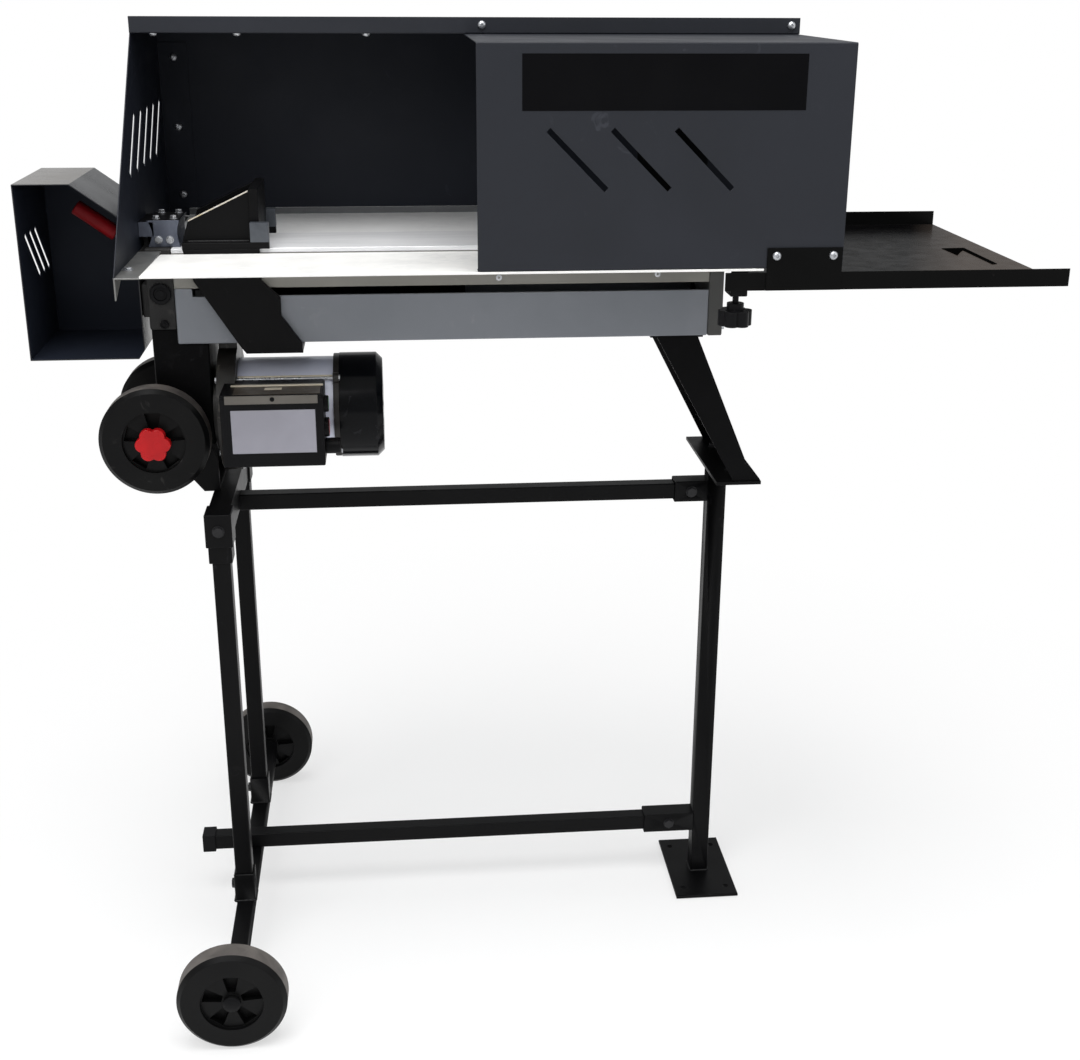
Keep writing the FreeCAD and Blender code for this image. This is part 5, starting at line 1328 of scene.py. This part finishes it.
@dataclass
class LogBay:
    """The trays either side of the bed and the brackets that carry them."""

    bolt_inward: Span = (9 * MM, 57 * MM)

    def build(self) -> None:
        """Dresses the trays and their brackets, and adds the bracket bolts."""
        Coat("front_tray", Slot.GALVANISED, 0.0, 0.5).put_on()
        # The rear tray has painted shade on its faces that look to the front.
        Coat("rear_tray", Slot.GALVANISED, 0.0, 0.5, LIT_REAR_ZINC,
             patches=(Patch(SHADED_RIM_ZINC, (0.0, -1.0, 0.0), 0.8),)).put_on()
        Coat("tray_brackets", Slot.GALVANISED, 0.0, 0.5, BRACKET_ZINC).put_on()
        form = Form()
        low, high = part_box("tray_brackets")
        bolt = HexBolt(10 * MM, 7.5 * MM, 1.0 * MM)
        along, across = self.bolt_inward
        for y in (low.y + across, high.y - across):
            bolt.add_to(form, Axis.Z, Vector((low.x + along, y, high.z)), 3.6 * MM, 5 * MM)
        make("tray_bracket_bolts", form, "frame", Slot.ZINC_STEEL)


@dataclass
class Guards:
    """The sheet steel guards and the plain plate on the cover."""

    plate: Slab = Slab((55, -0.4, -79), (403, 0.6, -13), 0.2)

    def build(self) -> None:
        """Dresses the guards and lays the plain plate on the wedge cover."""
        for coat in (
                # The back guard's inward faces and the whole end panel are painted shade.
                Coat("back_guard", Slot.ANTHRACITE_PAINT, 2.0, 0.35, ANTHRACITE,
                     patches=(InwardShadePatch(SHADED_INNER_ANTHRACITE),)),
                Coat("guard_end_panel", Slot.ANTHRACITE_PAINT, 0.0, 0.35, SHADED_INNER_ANTHRACITE),
                Coat("wedge_cover", Slot.ANTHRACITE_PAINT, 2.0, 0.35),
                # The lever guard's top faces take painted reflection and its inward faces painted
                # shade.
                Coat("lever_guard", Slot.ANTHRACITE_PAINT, 2.5, 0.35, BOX_SHEEN,
                     patches=(Patch(BOX_TOP_REFLECTION), InwardShadePatch(DEEP_SHADED_ANTHRACITE)))):
            coat.put_on()
        self.cover_plate()

    def cover_plate(self) -> None:
        """A plain black plate on the upper part of the cover's front."""
        low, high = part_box("wedge_cover")
        form = Form()
        self.plate.add_to(form, (low.x, low.y, high.z), (low.x, low.y, high.z))
        make("plain_cover_plate", form, "frame", Slot.ANTHRACITE_PAINT, COVER_PLATE)


@dataclass
class Table:
    """The output table with its clamp."""

    sheet: float = 2 * MM
    arrow_depth: float = 0.5 * MM
    arrow_places: tuple[Span, ...] = (
        (0.6103, 0.0264), (0.6451, 0.0294), (0.6437, -0.1036), (0.6352, -0.1077),
        (0.6357, 0.0072), (0.6275, -0.0052), (0.6123, -0.0339))

    def build(self) -> None:
        """Dresses the table, its clamp and the knob, and lays the arrow on the table."""
        # The table's upward faces take the painted reflection.
        Coat("output_table", Slot.BLACK_PAINT, 1.5, 0.4, TABLE_BLACK,
             patches=(Patch(TABLE_TOP_REFLECTION),)).put_on()
        Coat("clamp_bracket", Slot.BLACK_PAINT, 1.5, 0.5).put_on()
        Coat("clamp_knob", Slot.BLACK_PLASTIC, 0.0, 1.2, body="clamp_screw").put_on()
        self.arrow()

    def arrow(self) -> None:
        """A bare arrow that lies flat on the table and shows which way the log leaves."""
        form = Form()
        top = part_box("output_table")[0].z + self.sheet
        form.outline([(x, y, top) for x, y in self.arrow_places], (0, 0, self.arrow_depth),
                     0.1 * MM)
        make("table_arrow", form, "frame", Slot.BLACK_PAINT, ARROW_BLACK)


@dataclass
class Drive:
    """The motor, the pump, the switch box and the small wheels."""

    stud_inset: float = 0.4 * MM
    stud_radius: float = 2.5 * MM
    washer: Point = (4 * MM, 0.8 * MM, 5.6 * MM)
    nut_radius: float = 4.9 * MM
    left_nut: Span = (3.2 * MM, -2.8 * MM)
    right_nut: Span = (-1.5 * MM, 3.4 * MM)
    seam_degrees: tuple[int, int] = (130, 134)
    seam_radius: float = 2.0 * MM
    seam_inset: float = MM
    band: Slab = Slab((18, 1.5, -0.2), (-4, 56, 0.8), 0.3)
    cable_plate: Slab = Slab((59, 22, 0.7), (82, 32, 1.3), 0.2)
    ridge: Slab = Slab((12, 40, 0.6), (-1.0, 46, 2.4), 0.6)
    strip: Slab = Slab((7, -0.7, -13), (-7, 1.0, -1.5), 0.35)
    rating_plate: Slab = Slab((14, -0.6, 20), (-11, 1.0, 80.5), 0.3)
    screw_shares: Point = (0.025, 0.51, 0.975)
    screw_out: float = 0.5 * MM
    screw_down: float = 6.5 * MM
    screw: tuple[Span, ...] = ((0.0, 0.0), (0.0, 3.2), (-0.8, 3.1), (-1.3, 2.2), (-1.4, 1.0),
                               (-0.8, 0.9), (-0.8, 0.0))
    collar_gap: float = 0.6 * MM
    collar: tuple[Span, ...] = ((0.0, 2.2), (0.0, 0.0), (5.4, 0.4), (6.0, 1.2), (5.4, 2.0))

    def build(self) -> None:
        """Dresses the drive and adds the switch box's trim and the nuts."""
        for coat in (
                Coat("pump_body", Slot.CAST_GREY, 3.0, 0.8, PUMP_BLACK),
                Coat("pump_drive_gear", Slot.ROTOR_STEEL, 0.0, 0.2, body="rotor"),
                Coat("pump_idler_gear", Slot.ROTOR_STEEL, 0.0, 0.2, body="idler"),
                Coat("motor_end_shields", Slot.BLACK_COVER, 0.0, 1.5, SHIELD_BROWN),
                Coat("motor_housing", Slot.MOTOR_SILVER, 0.0, 0.6),
                Coat("motor_rotor", Slot.ROTOR_STEEL, 0.0, 0.8, body="rotor"),
                Coat("motor_fan", Slot.BLACK_PLASTIC, 0.0, 0.4, body="rotor"),
                Coat("fan_cover", Slot.BLACK_COVER, 0.0, 0.6),
                Coat("motor_bearings", Slot.ROTOR_STEEL, 0.0, 0.6),
                Coat("switch_box", Slot.BLACK_PLASTIC, 4.0, 0.8),
                Coat("start_button", Slot.GREEN_PLASTIC, 0.0, 1.0, body="start_button"),
                Coat("stop_button", Slot.RED_PLASTIC, 0.0, 1.0, body="stop_button"),
                Coat("cord_gland", Slot.BLACK_PLASTIC, 0.0, 0.8),
                Coat("wheel_bracket", Slot.BLACK_PAINT, 0.0, 0.6),
                Coat("machine_axle", Slot.ZINC_STEEL, 0.0, 0.6),
                Coat("wheel_star_caps", Slot.RED_PLASTIC, 0.0, 2.2)):
            coat.put_on()
        for end in ("front", "rear"):
            RoadWheel(f"machine_wheel_{end}", f"{end}_machine_wheel").build()
        self.tie_rods()
        self.housing_seams()
        self.switch_trim()
        self.button_skirts()

    def tie_rods(self) -> None:
        """The four long studs through the motor with their hexagon nuts and washers."""
        form = Form()
        for low, high, _ in solids_of("motor_tie_rods"):
            y, z = (low.y + high.y) / 2, (low.z + high.z) / 2
            form.rod(Axis.X, (low.x + self.stud_inset, y, z),
                     high.x - low.x - self.stud_inset, self.stud_radius, 20)
            inset, thick, radius = self.washer
            form.rod(Axis.X, (low.x + inset, y, z), -thick, radius, 28, 0.2 * MM)
            for x, (inset, height) in ((low.x, self.left_nut), (high.x, self.right_nut)):
                form.rod(Axis.X, (x + inset, y, z), height, self.nut_radius, 6)
        make("motor_tie_rod_studs", form, "frame", Slot.ZINC_STEEL,
             replaces=("motor_tie_rods",))

    def housing_seams(self) -> None:
        """Seam strips along the motor's housing, their pale cream colour a painted reflection of
        the bright lines along it.
        """
        low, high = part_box("motor_housing")
        middle_z, radius = (low.z + high.z) / 2, (high.z - low.z) / 2
        form = Form()
        for angle in map(math.radians, self.seam_degrees):
            y, z = radius * math.cos(angle), middle_z + radius * math.sin(angle)
            form.rod(Axis.X, (low.x + self.seam_inset, y, z),
                     high.x - low.x - 2 * self.seam_inset, self.seam_radius, 16)
        make("motor_seam_strips_painted_reflection", form, "frame", Slot.MOTOR_SILVER, PALE_TRIM_AND_GLINT)

    def switch_trim(self) -> None:
        """The switch box's band and upper strip, its screws and its bare plate."""
        low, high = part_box("switch_box")
        band, patch, strip, plate, screws = Form(), Form(), Form(), Form(), Form()
        top_left, top_right = (low.x, low.y, high.z), (high.x, low.y, high.z)
        self.band.add_to(band, top_left, top_right)
        self.cable_plate.add_to(patch, top_left, top_left)
        self.ridge.add_to(patch, top_left, top_right)
        self.strip.add_to(strip, top_left, top_right)
        self.rating_plate.add_to(plate, low, (high.x, low.y, low.z))
        for share in self.screw_shares:
            x = low.x + (high.x - low.x) * share
            screws.turned(Axis.Y, (x, low.y - self.screw_out, high.z - self.screw_down),
                          in_mm(*self.screw), 24)
        make("switch_box_band", band, "frame", Slot.BLACK_PLASTIC, BAND_BROWN)
        make("switch_box_patch", patch, "frame", Slot.ZINC_STEEL, PALE_TRIM_AND_GLINT)
        make("switch_box_strip", strip, "frame", Slot.ZINC_STEEL, STRIP_GREY)
        make("switch_box_plate", plate, "frame", Slot.SILVER_CASTING, LABEL_GREY)
        make("switch_box_screws", screws, "frame", Slot.BLACK_PLASTIC)

    def button_skirts(self) -> None:
        """The black collars that stand round the two buttons."""
        form = Form()
        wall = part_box("switch_box")[1].x
        for node in ("start_button", "stop_button"):
            low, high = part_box(node)
            y, z = (low.y + high.y) / 2, (low.z + high.z) / 2
            radius = (high.z - low.z) / 2 + self.collar_gap
            section = [(along, radius - inward) for along, inward in in_mm(*self.collar)]
            form.turned(Axis.X, (wall, y, z), section, 40, True)
        make("button_collars", form, "frame", Slot.BLACK_PLASTIC)


@dataclass
class Controls:
    """The operator's lever with its red grip, and the valve spool."""

    def build(self) -> None:
        """Dresses the lever, the spool and the grip."""
        Coat("control_lever", Slot.ZINC_STEEL, 0.0, 0.8, body="lever").put_on()
        Coat("valve_spool", Slot.HARD_CHROME, 0.0, 0.5, body="spool").put_on()
        Coat("lever_grip", Slot.RED_PLASTIC, 0.0, 2.0, GRIP_RED, body="lever").put_on()


@dataclass
class Studio:
    """The pale floor, the soft light and the camera of the photograph."""

    eye: Point = (-0.1918, -2.1201, 1.3865)
    yaw: float = 0.0985
    pitch: float = 0.3504
    roll: float = -0.0052
    lens: float = 50.106
    sensor: float = 36.0
    floor_half: float = 14.0
    floor_gap: float = 0.4 * MM
    fade_reach: Span = (0.5, 1.6)
    fade_share: float = 0.55
    lamps: tuple[tuple[str, Point, Point, float, float], ...] = (
        ("key_lamp", (-1.6, -2.6, 3.4), (0.0, 0.0, 0.8), 2.6, 46.0),
        ("fill_lamp", (2.6, -1.8, 2.4), (0.0, 0.0, 0.8), 2.4, 18.0),
        ("top_lamp", (-0.2, -0.7, 4.0), (-0.1, 0.0, 0.9), 2.6, 120.0))

    def camera(self) -> None:
        """Sets up the camera at the photograph's place."""
        data = bpy.data.cameras.new("photo_camera")
        data.lens = self.lens
        data.sensor_width = self.sensor
        data.sensor_fit = "HORIZONTAL"
        data.clip_end = 100.0
        camera = bpy.data.objects.new("photo_camera", data)
        forward = Vector((math.sin(self.yaw) * math.cos(self.pitch),
                          math.cos(self.yaw) * math.cos(self.pitch), -math.sin(self.pitch)))
        right = Vector((math.cos(self.yaw), -math.sin(self.yaw), 0.0))
        down = forward.cross(right)
        turn_cos, turn_sin = math.cos(self.roll), math.sin(self.roll)
        level = turn_cos * right + turn_sin * down
        fall = -turn_sin * right + turn_cos * down
        turn = Matrix((level, -fall, -forward)).transposed().to_4x4()
        camera.matrix_world = Matrix.Translation(self.eye) @ turn
        bpy.context.scene.collection.objects.link(camera)
        bpy.context.scene.camera = camera

    def floor(self) -> None:
        """Lays the pale floor, which fades to plain white away from the machine."""
        mesh = bmesh.new()
        bmesh.ops.create_grid(mesh, x_segments=8, y_segments=8, size=self.floor_half,
                              matrix=Matrix.Translation((0, 0, -self.floor_gap)))
        data = bpy.data.meshes.new("studio_floor")
        mesh.to_mesh(data)
        mesh.free()
        ground = bpy.data.objects.new("studio_floor", data)
        bpy.context.scene.collection.objects.link(ground)
        recipe = Recipe("pale_studio_floor")
        recipe.set(Metallic=0.0, Specular_IOR_Level=0.15)
        tint = recipe.blended(recipe.ranged(recipe.noise(3.0), 0.3, 0.7, 0.0, 1.0),
                              (0.93, 0.93, 0.93, 1.0), (0.95, 0.95, 0.95, 1.0))
        recipe.join(tint, recipe.shader.inputs["Base Color"])
        recipe.join(recipe.ranged(recipe.noise(40.0), 0.3, 0.7, 0.6, 0.75),
                    recipe.shader.inputs["Roughness"])
        recipe.join(recipe.bumped(recipe.noise(300.0), 0.00005),
                    recipe.shader.inputs["Normal"])
        white = recipe.node("Emission", Strength=1.0)
        rays = recipe.node("LightPath")
        seen = recipe.node("Math")
        seen.operation = "MAXIMUM"
        recipe.join(rays.outputs["Is Camera Ray"], seen.inputs[0])
        recipe.join(rays.outputs["Is Glossy Ray"], seen.inputs[1])
        distance = recipe.node("VectorMath")
        distance.operation = "LENGTH"
        recipe.join(recipe.place, distance.inputs[0])
        far = recipe.ranged(distance.outputs["Value"], *self.fade_reach, self.fade_share, 1.0)
        share = recipe.times(far, seen.outputs[0])
        mix = recipe.node("MixShader")
        recipe.join(share, mix.inputs[0])
        recipe.join(recipe.shader.outputs["BSDF"], mix.inputs[1])
        recipe.join(white.outputs["Emission"], mix.inputs[2])
        recipe.join(mix.outputs[0], recipe.output.inputs["Surface"])
        data.materials.append(recipe.material)

    def world(self) -> None:
        """Plain white to the camera, and a soft even light on the machine."""
        world = bpy.data.worlds.new("studio_world")
        bpy.context.scene.world = world
        world.use_nodes = True
        tree = world.node_tree
        tree.nodes.clear()
        output = tree.nodes.new("ShaderNodeOutputWorld")
        mix = tree.nodes.new("ShaderNodeMixShader")
        for entry, colour, strength in ((1, (0.98, 0.99, 1.0, 1.0), 0.5),
                                        (2, (1.0, 1.0, 1.0, 1.0), 1.0)):
            light = tree.nodes.new("ShaderNodeBackground")
            light.inputs["Color"].default_value = colour
            light.inputs["Strength"].default_value = strength
            tree.links.new(light.outputs[0], mix.inputs[entry])
        rays = tree.nodes.new("ShaderNodeLightPath")
        tree.links.new(rays.outputs["Is Camera Ray"], mix.inputs[0])
        tree.links.new(mix.outputs[0], output.inputs["Surface"])

    def lamp(self, name: str, place: Point, aim: Point, size: float, power: float) -> None:
        """Hangs one soft square lamp.

        Args:
            name: the lamp's name.
            place: where it hangs.
            aim: the point that it faces.
            size: its side in metres.
            power: its power in watts.
        """
        data = bpy.data.lights.new(name, "AREA")
        data.size = size
        data.energy = power
        lamp = bpy.data.objects.new(name, data)
        lamp.location = place
        lamp.rotation_mode = "QUATERNION"
        lamp.rotation_quaternion = (Vector(aim) - Vector(place)).to_track_quat("-Z", "Y")
        bpy.context.scene.collection.objects.link(lamp)

    def build(self) -> None:
        """Sets the camera, the floor, the world and the lamps."""
        self.camera()
        self.floor()
        self.world()
        for lamp in self.lamps:
            self.lamp(*lamp)
        bpy.context.scene.view_settings.view_transform = "Standard"


def main() -> None:
    """Builds the studio and each sub-assembly in order, and notes the sizes."""
    logging.basicConfig(level=logging.INFO, format="%(name)s %(message)s")
    for part in (Studio(), Stand(), Beam(), Ram(), LogBay(), Guards(), Table(), Drive(),
                 Controls(), Fasteners()):
        part.build()


if __name__ == "__main__":
    main()
